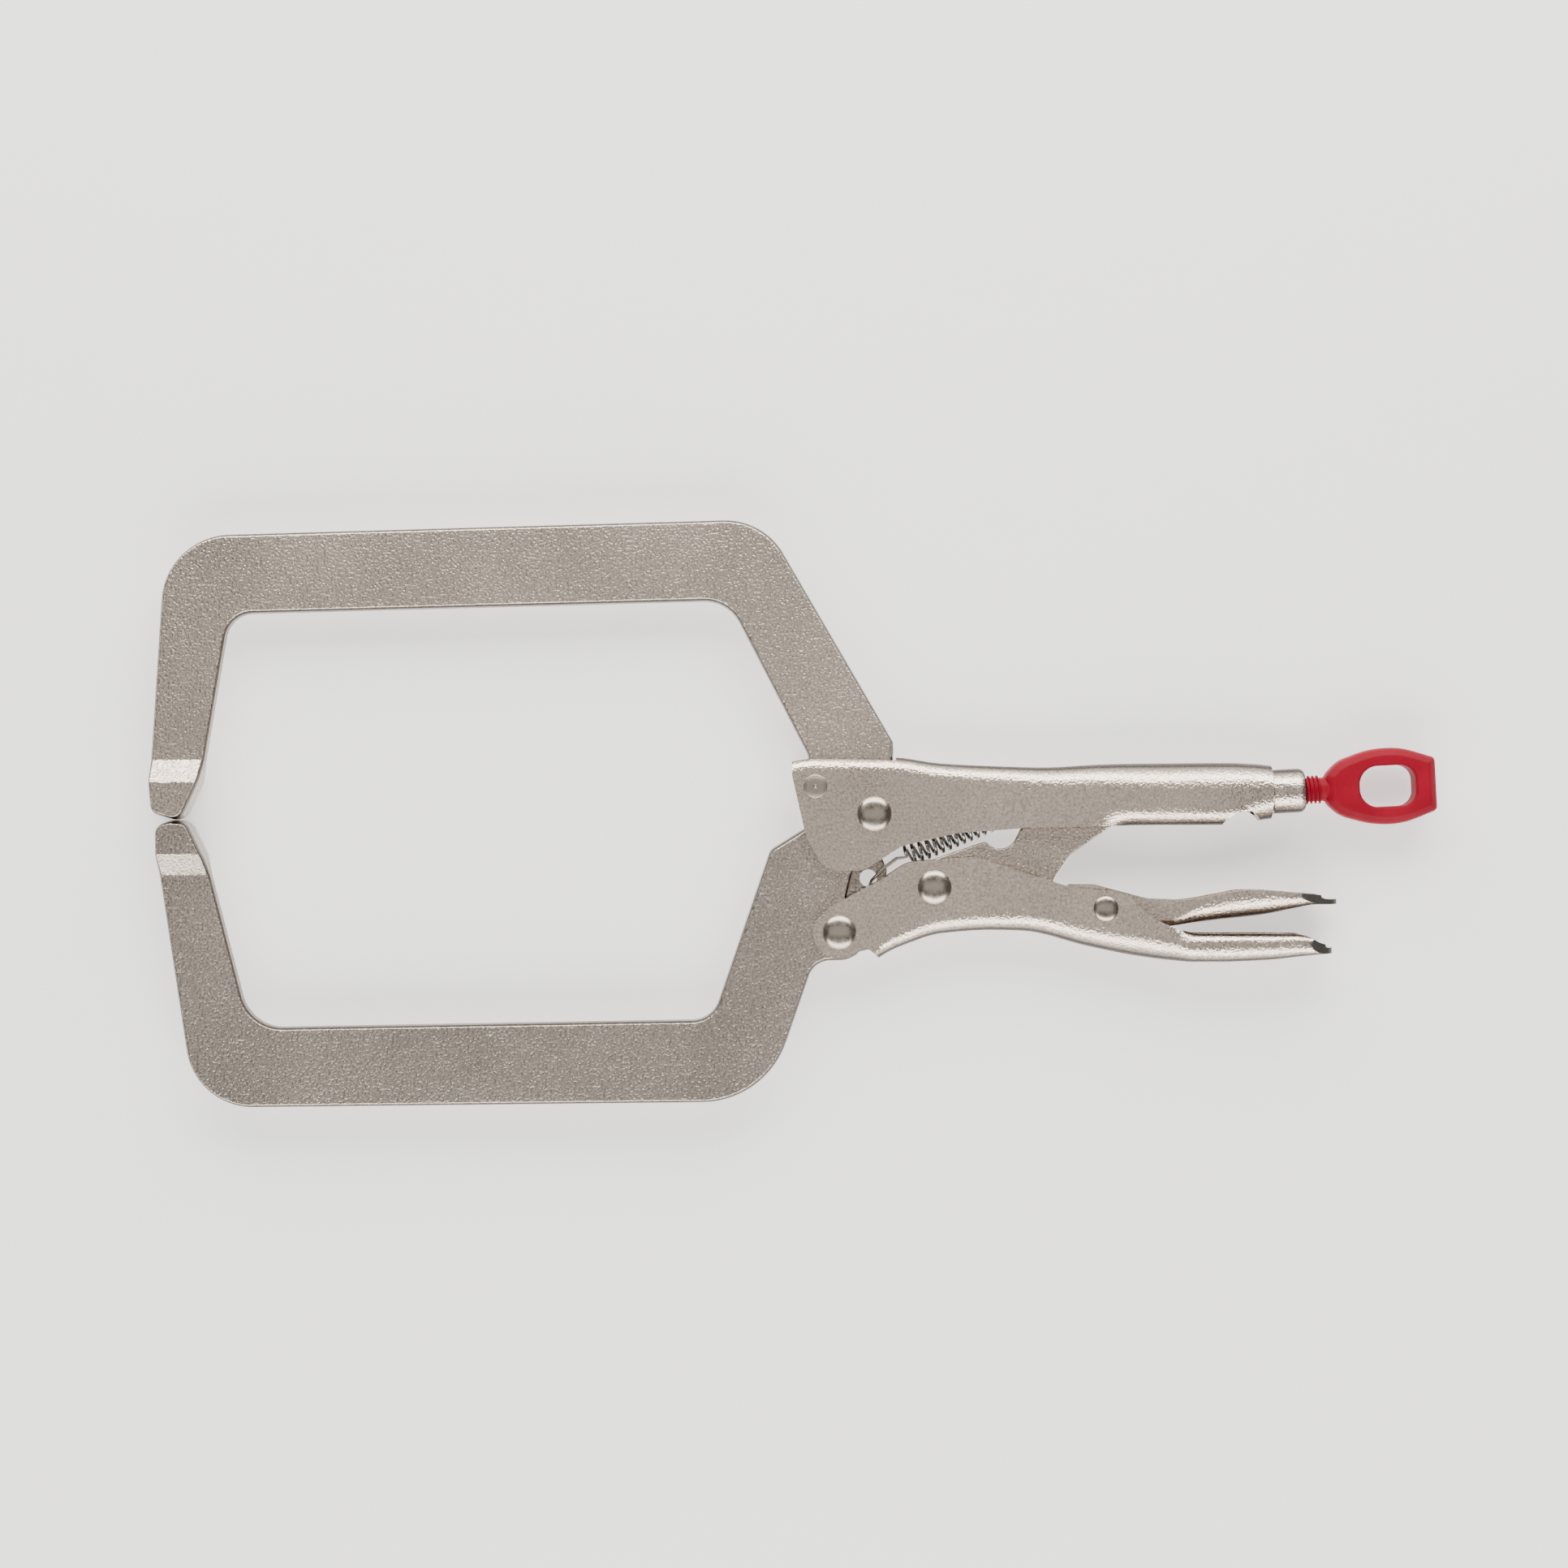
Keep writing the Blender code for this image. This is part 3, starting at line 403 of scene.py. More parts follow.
def rounded(corners, inset=0.0):
    """Outline through (x, y, radius) corners, each rounded, the whole moved inward by inset."""
    points = []
    count = len(corners)
    winding = 1.0 if signed_area(corners) > 0.0 else -1.0
    for i, (x, y, radius) in enumerate(corners):
        corner = Vector((x, y))
        back = (Vector(corners[i - 1][:2]) - corner).normalized()
        ahead = (Vector(corners[(i + 1) % count][:2]) - corner).normalized()
        turn = math.pi - back.angle(ahead)
        inward_back = Vector((back.y, -back.x)) * winding
        inward_ahead = Vector((-ahead.y, ahead.x)) * winding
        inward = (inward_back + inward_ahead).normalized()
        here = corner + inward * (inset / math.cos(turn / 2.0))
        side = 1.0 if back.x * ahead.y - back.y * ahead.x < 0.0 else -1.0
        convex = side * winding > 0.0
        radius = max(radius - inset, LEAST_RADIUS) if convex and radius > 0.0 else radius
        radius = radius + inset if not convex and radius > 0.0 else radius
        if radius <= 0.0 or turn < LEAST_TURN:
            points.append(here)
            continue
        reach = radius * math.tan(turn / 2.0)
        start = here + back * reach
        towards = (back + ahead).normalized()
        centre = here + towards * (radius / math.cos(turn / 2.0))
        spoke = start - centre
        steps = max(1, math.ceil(turn / ARC_STEP))
        for k in range(steps + 1):
            angle = side * turn * k / steps
            cosine = math.cos(angle)
            sine = math.sin(angle)
            swung = Vector((spoke.x * cosine - spoke.y * sine, spoke.x * sine + spoke.y * cosine))
            points.append(centre + swung)
    return points


# ---------------------------------------------------------------- solids

def add_object(name, data):
    obj = bpy.data.objects.new(name, data)
    bpy.context.scene.collection.objects.link(obj)
    return obj


def evaluated_mesh(obj):
    """A new mesh of a shape with its modifiers or its bevel applied."""
    bpy.context.view_layer.update()
    graph = bpy.context.evaluated_depsgraph_get()
    return bpy.data.meshes.new_from_object(obj.evaluated_get(graph))


def settle(obj):
    """Replace a construction shape by its finished mesh."""
    mesh = evaluated_mesh(obj)
    obj.modifiers.clear()
    obj.data = mesh
    return obj


def combine(target, operand, operation):
    """Boolean of two construction shapes; the operand is used up."""
    change = target.modifiers.new(operation.lower(), "BOOLEAN")
    change.operation = operation
    change.solver = "EXACT"
    change.object = operand
    settle(target)
    bpy.data.objects.remove(operand, do_unlink=True)


def join(target, other):
    """Put a further closed shape into one object."""
    bm = bmesh.new()
    bm.from_mesh(target.data)
    bm.from_mesh(other.data)
    bpy.data.objects.remove(other, do_unlink=True)
    bm.to_mesh(target.data)
    bm.free()


def bridge(bm, rings):
    """Faces between each ring of vertices and the next."""
    count = len(rings[0])
    for first, second in zip(rings, rings[1:]):
        for i in range(count):
            k = (i + 1) % count
            bm.faces.new((first[i], first[k], second[k], second[i]))


def made(name, bm):
    """An object from a finished bmesh, its faces turned outward."""
    bmesh.ops.recalc_face_normals(bm, faces=bm.faces)
    mesh = bpy.data.meshes.new(name)
    bm.to_mesh(mesh)
    bm.free()
    return add_object(name, mesh)


def stack(name, corners, levels, rows=()):
    """A solid built from insets of one outline at rising heights.

    levels lists (inset, height) from the lower face to the upper one. rows lists heights along Y at
    which the faces are divided, so that the solid can be reshaped there.
    """
    bm = bmesh.new()
    rings = []
    for inset, height in levels:
        outline = rounded(corners, inset)
        rings.append([bm.verts.new((p.x * MM, p.y * MM, height * MM)) for p in outline])
    bridge(bm, rings)
    caps = [bm.faces.new(list(reversed(rings[0]))), bm.faces.new(rings[-1])]
    bm.normal_update()
    bmesh.ops.triangulate(bm, faces=caps, ngon_method="EAR_CLIP")
    for row in rows:
        everything = bm.verts[:] + bm.edges[:] + bm.faces[:]
        level = (0.0, row * MM, 0.0)
        bmesh.ops.bisect_plane(bm, geom=everything, plane_co=level, plane_no=(0.0, 1.0, 0.0))
    return made(name, bm)


def mirrored(levels):
    """Levels for both sides of the mid-plane from those of the upper side, listed top down."""
    return [(inset, -height) for inset, height in levels] + levels[::-1]


def prism(name, corners, low=-THROUGH, high=THROUGH):
    """A straight-sided shape; without heights it reaches right through the clamp."""
    return stack(name, corners, [(0.0, low), (0.0, high)])


def rounded_levels(half, radius, steps=4):
    """A plate of the given half thickness with rounded edges."""
    levels = []
    for i in range(steps + 1):
        angle = math.pi / 2.0 * i / steps
        levels.append((radius * (1.0 - math.sin(angle)), half - radius * (1.0 - math.cos(angle))))
    return mirrored(levels)


def turned(name, profile, steps=ROUND_STEPS):
    """A round piece about Z from a (radius, height) profile, given from top to bottom."""
    mesh = bpy.data.meshes.new(name)
    vertices = [(radius * MM, 0.0, height * MM) for radius, height in profile]
    edges = [(i, i + 1) for i in range(len(profile) - 1)]
    mesh.from_pydata(vertices, edges, [])
    obj = add_object(name, mesh)
    screw = obj.modifiers.new("turn", "SCREW")
    screw.axis = "Z"
    screw.steps = steps
    screw.render_steps = steps
    screw.use_merge_vertices = True
    screw.merge_threshold = MERGE
    return settle(obj)


def both_ends(top):
    """Profile of a round piece whose lower end is the mirror image of its upper end."""
    return top + [(radius, -height) for radius, height in reversed(top)]


def moved(obj, x, y):
    """Shift a piece in the plane of the plates, in millimetres."""
    obj.data.transform(Matrix.Translation((x * MM, y * MM, 0.0)))
    return obj


def drill(target, centre, radius):
    """A bore through the plates, parallel to Z."""
    profile = [(0.0, THROUGH), (radius, THROUGH), (radius, -THROUGH), (0.0, -THROUGH)]
    cutter = turned("drill", profile, BORE_STEPS)
    combine(target, moved(cutter, *centre), "DIFFERENCE")


def smooth_value(stations, x, column):
    """Value of one column at x, eased between the stations by a cubic without overshoot."""
    last = len(stations) - 1
    if x <= stations[0][0]:
        return stations[0][column]
    if x >= stations[last][0]:
        return stations[last][column]
    index = max(i for i in range(last) if stations[i][0] <= x)

    def slope(i):
        return (stations[i + 1][column] - stations[i][column]) / (stations[i + 1][0] - stations[i][0])

    def tangent(i):
        if i == 0 or i == last:
            return slope(min(i, last - 1))
        before = slope(i - 1)
        after = slope(i)
        if before * after <= 0.0:
            return 0.0
        return 2.0 * before * after / (before + after)

    width = stations[index + 1][0] - stations[index][0]
    t = (x - stations[index][0]) / width
    start = stations[index][column]
    end = stations[index + 1][column]
    pull = tangent(index) * width
    push = tangent(index + 1) * width
    square = t * t
    cube = square * t
    first = (2.0 * cube - 3.0 * square + 1.0) * start + (cube - 2.0 * square + t) * pull
    return first + (3.0 * square - 2.0 * cube) * end + (cube - square) * push


def half_section(back, edge, half, fold, curl, lip, inset):
    """Half of a channel section from the open edge to the middle of its back."""
    side = 1.0 if back > edge else -1.0
    depth = abs(back - edge)
    points = []
    root = lip
    if curl > LEAST_CURL:
        bend = lip / curl
        root = bend * math.sin(min(curl, math.pi / 2.0))
    for i in range(SECTION_LIP):
        if curl > LEAST_CURL:
            angle = curl * (1.0 - i / SECTION_LIP)
            radius = bend - inset
            points.append((half - bend + radius * math.cos(angle), root - radius * math.sin(angle)))
        else:
            points.append((half - inset, lip * i / SECTION_LIP))
    top = depth - fold
    for i in range(SECTION_WALL):
        points.append((half - inset, root + (top - root) * i / SECTION_WALL))
    for i in range(SECTION_FOLD + 1):
        angle = math.pi / 2.0 * i / SECTION_FOLD
        radius = fold - inset
        points.append((half - fold + radius * math.cos(angle), top + radius * math.sin(angle)))
    points.append((0.0, depth - inset))
    return [(z, edge + side * y) for z, y in points]


def channel(name, stations, spacing, thickness):
    """A pressed channel lofted along X through sections that change shape.

    Each station is (x, back, edge, half width, fold radius, curl in degrees, lip length).
    """
    start = stations[0][0]
    span = stations[-1][0] - start
    steps = math.ceil(span / spacing)
    columns = range(1, len(stations[0]))
    bm = bmesh.new()
    rings = []
    for step in range(steps + 1):
        x = round(start + span * step / steps, 3)
        back, edge, half, fold, curl, lip = [smooth_value(stations, x, column) for column in columns]
        outer = half_section(back, edge, half, fold, math.radians(curl), lip, 0.0)
        inner = half_section(back, edge, half, fold, math.radians(curl), lip, thickness)
        loop = outer + [(-z, y) for z, y in reversed(outer[:-1])]
        loop += [(-z, y) for z, y in inner[:-1]] + list(reversed(inner))
        rings.append([bm.verts.new((x * MM, y * MM, z * MM)) for z, y in loop])
    bridge(bm, rings)
    count = len(rings[0])
    for ring in (rings[0], rings[-1]):
        for i in range(count // 2 - 1):
            bm.faces.new((ring[i], ring[i + 1], ring[count - 2 - i], ring[count - 1 - i]))
    return made(name, bm)


# ---------------------------------------------------------------- finished pieces

def dress(obj, looks):
    """Bring a piece made about the main pivot into the frame, smooth and with its materials."""
    obj.data.transform(Matrix.Translation(ORIGIN))
    obj.data.materials.clear()
    for look in looks:
        obj.data.materials.append(look)
    obj.data.shade_smooth()


def place(obj, body, node, looks, weighted=False):
    """Finish a rigid piece: it rides on its body and stands for its CAD node."""
    dress(obj, looks)
    obj.data.set_sharp_from_angle(angle=CREASE)
    if weighted:
        normals = obj.modifiers.new("even_normals", "WEIGHTED_NORMAL")
        normals.keep_sharp = True
        normals.weight = EVEN_WEIGHT
    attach(obj, body)
    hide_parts(node)


# Forging section, from the flat face down to the parting line at the mid-plane
FORGED_EDGE = [
    (1.35, JAW_HALF), (1.15, JAW_HALF - 0.05), (0.97, JAW_HALF - 0.2), (0.76, JAW_HALF - 0.5),
    (0.52, JAW_HALF - 1.0), (0.33, JAW_HALF - 1.6), (0.24, JAW_HALF - 2.2), (0.08, 0.6), (0.02, 0.45),
    (0.0, 0.3),
]


def eased(t, soft):
    """A straight ramp from 0 to 1 whose two ends bend in over the share soft."""
    t = min(max(t, 0.0), 1.0)
    if t > 0.5:
        return 1.0 - eased(1.0 - t, soft)
    slope = 1.0 / (1.0 - soft)
    if t < soft:
        return slope * t * t / (2.0 * soft)
    return slope * (t - soft / 2.0)


def shoulder_rows(narrow_y, wide_y):
    """Heights along Y at which a jaw is divided so that its shoulder can bend there."""
    span = wide_y - narrow_y
    shares = (-0.2, 0.0, 0.03, 0.06, 0.09, 0.3, 0.5, 0.7, 0.91, 0.94, 0.97, 1.0, 1.2)
    return [narrow_y + span * share for share in shares]


def forged_bow(name, outline, shoulder):
    """A jaw with a forged edge, thickened toward its tip by a slanted, softened shoulder."""
    narrow_y, wide_y = shoulder
    jaw = stack(name, outline, mirrored(FORGED_EDGE), shoulder_rows(narrow_y, wide_y))
    for vertex in jaw.data.vertices:
        if vertex.co.x > TIP_FROM_X * MM:
            continue
        t = (vertex.co.y / MM - narrow_y) / (wide_y - narrow_y)
        vertex.co.z *= 1.0 + (TIP_HALF / JAW_HALF - 1.0) * eased(t, SHOULDER_SOFT)
    return jaw


def make_upper_jaw():
    """Fixed jaw: a forged bow whose root sits in the front of the channel handle."""
    root = arc(MAIN_PIVOT, ROOT_R, 165.0, 64.0)
    outline = [
        (-258.0, 0.0, 4.6), (-247.0, -3.0, 4.5), (-240.2, 11.5, 18.0), (-230.2, 71.2, 10.0),
        (-52.2, 76.05, 14.0), (-23.4, 20.4, 3.0), (-26.3, 11.0, 2.0), (-26.3, 3.4, 2.5), *root,
        (7.0, 22.0, 0.0), (6.9, 25.6, 2.5), (-39.5, 105.4, 24.0), (-253.3, 99.2, 25.0),
        (-258.9, 12.0, 20.0),
    ]
    jaw = forged_bow("upper_bow", outline, UPPER_SHOULDER)
    place(jaw, "handle", "upper_jaw", [FORGED], weighted=True)


def make_lower_jaw():
    """Moving jaw: a forged bow with a hub, a lever lug and a thin tab for the spring."""
    hub = arc(MAIN_PIVOT, HUB_R, 175.0, -45.0)
    lug = arc(LEVER_PIVOT, LEVER_LUG_R, 72.0, -90.0)
    outline = [
        (-256.5, -3.9, 4.5), (-250.8, -2.3, 6.0), (-244.6, -2.7, 4.5), (-238.6, -15.2, 12.0),
        (-222.8, -76.4, 15.0), (-57.9, -73.5, 10.0), (-37.2, -12.9, 5.0), (-25.0, -5.3, 12.0),
        (-15.0, -1.6, 3.0), *hub, (0.0, -15.5, 3.0), (-7.5, -20.7, 3.0), (-9.6, -29.1, 0.0),
        *lug, (-21.4, -52.7, 8.0), (-38.7, -103.0, 32.0), (-242.6, -105.3, 24.0),
        (-256.4, -15.0, 12.0),
    ]
    jaw = forged_bow("lower_bow", outline, LOWER_SHOULDER)
    tab = [
        (-13.0, -11.0, 0.0), (0.0, -9.0, 0.0), (2.3, -14.5, 3.0), (4.6, -20.0, 3.0),
        (3.8, -27.0, 4.0), (-4.0, -36.0, 0.0), (-13.0, -38.0, 0.0),
    ]
    thin = stack("spring_tab", tab, rounded_levels(TAB_HALF, 0.6))
    drill(thin, SPRING_HOLE, SPRING_HOLE_R)
    join(jaw, thin)
    # The lower jaw takes the darker copy of the forging look, as painted shade
    place(jaw, "lower_jaw", "lower_jaw", [FORGED_SHADED], weighted=True)


def darken_rim(obj):
    """Give the sheared rim of a placed tail the second material."""
    for polygon in obj.data.polygons:
        beyond = polygon.center.x > ORIGIN.x + TAIL_RIM_X * MM
        if beyond and abs(polygon.normal.y) < RIM_SIDEWAYS and polygon.normal.x > RIM_BACKWARD:
            polygon.material_index = 1


def plan_prism(name, corners):
    """A shape drawn in plan, as seen from the back of the handles, standing along Y."""
    obj = prism(name, corners, -PLAN_DEPTH, 0.0)
    obj.data.transform(Matrix.Rotation(math.radians(90.0), 4, "X"))
    obj.data.transform(Matrix.Translation((0.0, -PLAN_DEPTH * MM, 0.0)))
    return obj


def make_upper_handle():
    """Fixed handle: a channel open downward whose back end closes into a round grip."""
    stations = [
        (-31.0, 19.2, -26.0, WALL_OUT, 5.0, 0.0, 6.0),
        (-22.0, 20.6, -26.0, WALL_OUT, 5.2, 0.0, 6.0),
        (6.7, 20.2, -24.0, WALL_OUT, 5.4, 0.0, 6.0),
        (24.0, 18.0, -16.0, 7.4, 5.8, 0.0, 6.0),
        (47.0, 16.9, -5.6, 7.8, 6.4, 0.0, 6.0),
        (60.0, 16.6, -4.8, 8.2, 7.2, 0.0, 6.0),
        (80.0, 17.6, -4.4, 9.2, 8.4, 10.0, 6.5),
        (90.0, 17.9, -4.2, 9.7, 9.2, 75.0, 9.0),
        (100.0, 18.0, -4.1, GRIP_HALF, 9.6, 105.0, 11.6),
        (126.0, 18.2, -4.0, GRIP_HALF, 9.7, 110.0, 12.0),
        (136.0, 17.8, -2.6, 9.6, 9.3, 88.0, 12.5),
        (141.9, 17.2, -1.8, 9.35, 9.2, 86.0, 13.4),
    ]
    body = channel("upper_channel", stations, HANDLE_SPACING, SHEET)
    side = [
        (-29.3, 19.0, 1.5), (-29.3, 13.5, 4.0), (-24.2, -8.6, 10.0), (-17.6, -20.3, 8.0),
        (-4.2, -20.4, 10.0), (10.0, -11.4, 12.0), (30.0, -6.8, 30.0), (60.0, -4.7, 0.0),
        (60.0, -12.0, 0.0), (160.0, -12.0, 0.0), (160.0, 30.0, 0.0), (-29.3, 30.0, 0.0),
    ]
    combine(body, prism("handle_side", side), "INTERSECT")
    slot = [(-40.0, 13.0, 0.0), (7.8, 13.0, 0.0), (7.8, 30.0, 0.0), (-40.0, 30.0, 0.0)]
    combine(body, prism("jaw_slot", slot, -WALL_IN, WALL_IN), "DIFFERENCE")
    window = [
        (124.0, -20.0, 0.0), (124.0, -3.2, 3.0), (129.5, 0.9, 3.0), (134.6, 0.9, 2.0),
        (137.6, -2.0, 2.0), (137.6, -20.0, 0.0),
    ]
    combine(body, prism("collar_window", window), "DIFFERENCE")
    web = [(58.0, 15.6, 0.0), (60.0, 6.0, 2.5), (67.0, 6.0, 2.5), (69.0, 15.6, 0.0)]
    lug = prism("spring_lug", web, -LUG_HALF, LUG_HALF)
    drill(lug, SPRING_LUG, LUG_BORE_R)
    join(body, lug)
    place(body, "handle", "upper_handle", [SHEET_LOOK])


def make_lower_handle():
    """Moving handle: a channel open upward with two ears in front and a curled tail."""
    stations = [
        (-24.0, -60.0, -14.0, WALL_OUT, 5.0, 0.0, 6.0),
        (-3.0, -58.0, -14.0, WALL_OUT, 5.0, 0.0, 6.0),
        (2.0, -51.3, -12.0, WALL_OUT, 5.2, 0.0, 6.0),
        (12.5, -46.2, -12.0, 7.4, 5.5, 0.0, 6.0),
        (24.0, -42.8, -12.0, 7.5, 5.9, 0.0, 6.0),
        (41.6, -41.6, -14.0, 7.7, 6.3, 0.0, 6.0),
        (53.0, -41.9, -16.0, 7.9, 6.7, 0.0, 6.0),
        (76.4, -47.4, -20.0, 8.4, 7.7, 0.0, 6.0),
        (94.0, -50.9, -26.0, 9.0, 8.4, 0.0, 6.0),
        (106.0, -52.4, -38.0, 9.6, 7.8, 20.0, 6.5),
        (114.0, -52.9, -42.7, GRIP_HALF, 6.0, 80.0, 5.2),
        (122.0, -52.9, -42.7, GRIP_HALF, 6.0, 100.0, 6.0),
        (140.0, -52.2, -42.7, 9.8, 5.6, 100.0, 6.0),
        (151.0, -51.0, -42.9, 9.5, 4.6, 80.0, 4.0),
        (158.0, -50.2, -45.2, 9.0, 3.2, 25.0, 1.0),
        (163.6, -49.7, -46.9, 8.2, 2.4, 0.0, 0.2),
    ]
    body = channel("lever_channel", stations, HANDLE_SPACING, SHEET)
    ear = arc(LEVER_PIVOT, EAR_R, 155.0, 310.0)
    side = [
        *ear, (-2.0, -48.2, 2.0), (1.9, -51.6, 0.0), (1.9, -60.0, 0.0), (180.0, -60.0, 0.0),
        (180.0, -36.0, 0.0), (111.4, -36.0, 0.0), (111.4, -42.9, 0.0), (98.0, -36.6, 6.0),
        (89.5, -28.0, 8.0), (70.0, -26.2, 16.0), (36.0, -15.2, 18.0), (12.0, -17.2, 14.0),
        (2.4, -23.5, 20.0), (-16.0, -33.2, 2.0),
    ]
    combine(body, prism("lever_side", side), "INTERSECT")
    outline = [
        (-30.0, 20.0, 0.0), (-30.0, -20.0, 0.0), (150.0, -20.0, 0.0), (150.0, -11.0, 0.0),
        (154.5, -9.7, 6.0), (163.4, -5.2, 4.0), (163.4, 5.2, 4.0), (154.5, 9.7, 6.0),
        (150.0, 11.0, 0.0), (150.0, 20.0, 0.0),
    ]
    combine(body, plan_prism("lever_plan", outline), "INTERSECT")
    crease = [(-5.2, -24.0, 0.0), (-4.5, -24.0, 0.0), (0.5, -48.2, 0.0), (-0.2, -48.2, 0.0)]
    groove = WALL_OUT - JOGGLE_DEPTH
    for low, high in ((groove, JOGGLE_REACH), (-JOGGLE_REACH, -groove)):
        combine(body, prism("joggle", crease, low, high), "DIFFERENCE")
    place(body, "lever", "lower_handle", [SHEET_LOOK, CUT])
    darken_rim(body)


def make_release_lever():
    """Small channel nested in the lower handle, its tail flattening to a finger tab."""
    stations = [
        (69.0, -41.0, -24.0, 4.6, 2.6, 0.0, 4.0),
        (100.0, -40.8, -24.0, 4.8, 3.0, 0.0, 4.0),
        (107.0, -40.0, -30.8, 5.2, 3.4, 0.0, 3.0),
        (114.0, -39.0, -30.2, 6.6, 6.2, 0.0, 1.2),
        (122.0, -38.0, -28.8, 7.8, 7.5, 0.0, 1.0),
        (132.5, -36.9, -27.2, 8.4, 8.2, 0.0, 0.9),
        (140.0, -35.9, -27.4, 8.6, 7.6, 0.0, 0.6),
        (149.0, -33.9, -28.1, 8.6, 5.2, 0.0, 0.4),
        (157.0, -32.4, -28.7, 8.3, 3.3, 0.0, 0.3),
        (165.4, -32.2, -29.6, 7.6, 2.0, 0.0, 0.2),
    ]
    body = channel("release_channel", stations, RELEASE_SPACING, RELEASE_SHEET)
    side = [
        (69.4, -25.2, 1.2), (68.6, -29.5, 3.0), (74.5, -36.0, 4.0), (78.0, -41.0, 4.0),
        (100.0, -43.0, 0.0), (180.0, -43.0, 0.0), (180.0, -20.0, 0.0), (114.0, -20.0, 0.0),
        (108.0, -30.7, 0.0), (98.0, -30.4, 8.0), (88.0, -27.7, 8.0), (79.0, -25.3, 4.0),
    ]
    combine(body, prism("release_side", side), "INTERSECT")
    outline = [
        (60.0, 20.0, 0.0), (60.0, -20.0, 0.0), (144.0, -20.0, 0.0), (144.0, -9.6, 0.0),
        (152.5, -8.3, 8.0), (165.2, -4.6, 4.0), (165.2, 4.6, 4.0), (152.5, 8.3, 8.0),
        (144.0, 9.6, 0.0), (144.0, 20.0, 0.0),
    ]
    combine(body, plan_prism("release_plan", outline), "INTERSECT")
    place(body, "release", "release_lever", [SHEET_LOOK, CUT])
    darken_rim(body)


def make_toggle_link():
    """Flat link with an eye at the lever, a finger notch on top and a heel below."""
    eye = arc(LINK_PIVOT, LINK_EYE_R, 290.0, 110.0)
    nose = arc(LINK_NOSE, NOSE_R, 120.0, -58.0)
    outline = [
        *eye, (38.6, -10.3, 1.5), *arc(NOTCH, NOTCH_R, 215.0, 325.0)[1:-1],
        (52.4, -5.6, 1.5), (55.4, -3.6, 4.0), *nose, (69.5, -15.0, 8.0), (64.0, -23.0, 8.0),
        (63.0, -28.6, 2.5), (56.0, -31.4, 6.0), (38.0, -33.0, 20.0),
    ]
    link = stack("link_plate", outline, rounded_levels(LINK_HALF, 0.5))
    place(link, "link", "toggle_link", [FORGED], weighted=True)


# ---------------------------------------------------------------- rivets and pin

def rivet(name, node, centre, body, head_r=HEAD_R, rise=HEAD_RISE, shank_r=SHANK_R):
    """Domed rivet with a small flat on the crown, as tall as its CAD node."""
    crown = (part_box(node)[1][2] - ORIGIN.z) / MM
    seat = crown - rise
    top = [(0.0, seat + rise * DOME_CROWN)]
    for degrees in DOME_ANGLES:
        turn = math.radians(degrees)
        top.append((head_r * math.cos(turn), seat + rise * math.sin(turn) ** DOME_FULLNESS))
    top += [(head_r - 0.2, seat - 0.1), (shank_r, seat - 0.1)]
    piece = turned(name, both_ends(top))
    place(moved(piece, *centre), body, node, [POLISHED])


def make_jaw_pin():
    """Flat-headed pin with a turned rim and a centre mark."""
    seat = WALL_OUT + HEAD_GAP
    rim = [
        (0.0, 0.1), (0.25, 0.18), (0.7, 0.62), (1.3, 0.7), (3.3, 0.7), (3.45, 0.62), (3.55, 0.4),
        (3.7, 0.4), (3.85, 0.48), (4.15, 0.35), (4.25, 0.1), (4.25, -0.1), (3.0, -0.1),
    ]
    piece = turned("pin_head", both_ends([(radius, seat + rise) for radius, rise in rim]))
    place(moved(piece, *JAW_PIN), "handle", "jaw_pin", [TURNED])


# ---------------------------------------------------------------- collar, screw and ring

def along_screw(obj):
    """Lay a piece that was turned about Z along the tilted screw axis."""
    obj.data.transform(Matrix.Rotation(math.radians(90.0), 4, "Y"))
    obj.data.transform(Matrix.Rotation(SCREW_TILT, 4, "Z"))
    return moved(obj, *SCREW_POINT)


def make_collar():
    """Stepped threaded insert that closes the back of the grip."""
    profile = [
        (COLLAR_BORE_R, COLLAR_END), (5.7, COLLAR_END + 0.25), (6.4, COLLAR_END + 0.1),
        (7.1, COLLAR_END - 0.35), (7.6, COLLAR_END - 1.0), (COLLAR_OUTER_R - 0.08, COLLAR_END - 1.7),
        (COLLAR_OUTER_R, COLLAR_END - 2.4), (COLLAR_OUTER_R, COLLAR_STEP),
        (COLLAR_INNER_R, COLLAR_STEP), (COLLAR_INNER_R, COLLAR_START), (COLLAR_BORE_R, COLLAR_START),
        (COLLAR_BORE_R, COLLAR_END),
    ]
    collar = along_screw(turned("collar_insert", profile))
    place(collar, "handle", "threaded_collar", [SHEET_LOOK])


def helical_ridge(name, start, turns, steps):
    """The thread: a rounded triangle section wound about Z, its two ends closed."""
    flank = [
        (THREAD_ROOT_R - THREAD_SUNK, THREAD_PITCH * 0.42), (THREAD_R - 0.18, 0.2), (THREAD_R, 0.08),
    ]
    corners = [(radius, start + height) for radius, height in both_ends(flank)]
    ring = [(i, (i + 1) % len(corners)) for i in range(len(corners))]
    mesh = bpy.data.meshes.new(name)
    mesh.from_pydata([(r * MM, 0.0, z * MM) for r, z in corners], ring, [])
    obj = add_object(name, mesh)
    screw = obj.modifiers.new("wind", "SCREW")
    screw.axis = "Z"
    screw.steps = steps
    screw.render_steps = steps
    screw.iterations = turns
    screw.screw_offset = THREAD_PITCH * MM
    settle(obj)
    bm = bmesh.new()
    bm.from_mesh(obj.data)
    bmesh.ops.remove_doubles(bm, verts=bm.verts, dist=MERGE)
    bmesh.ops.holes_fill(bm, edges=bm.edges, sides=len(corners))
    bmesh.ops.recalc_face_normals(bm, faces=bm.faces)
    bm.to_mesh(obj.data)
    bm.free()
    return obj


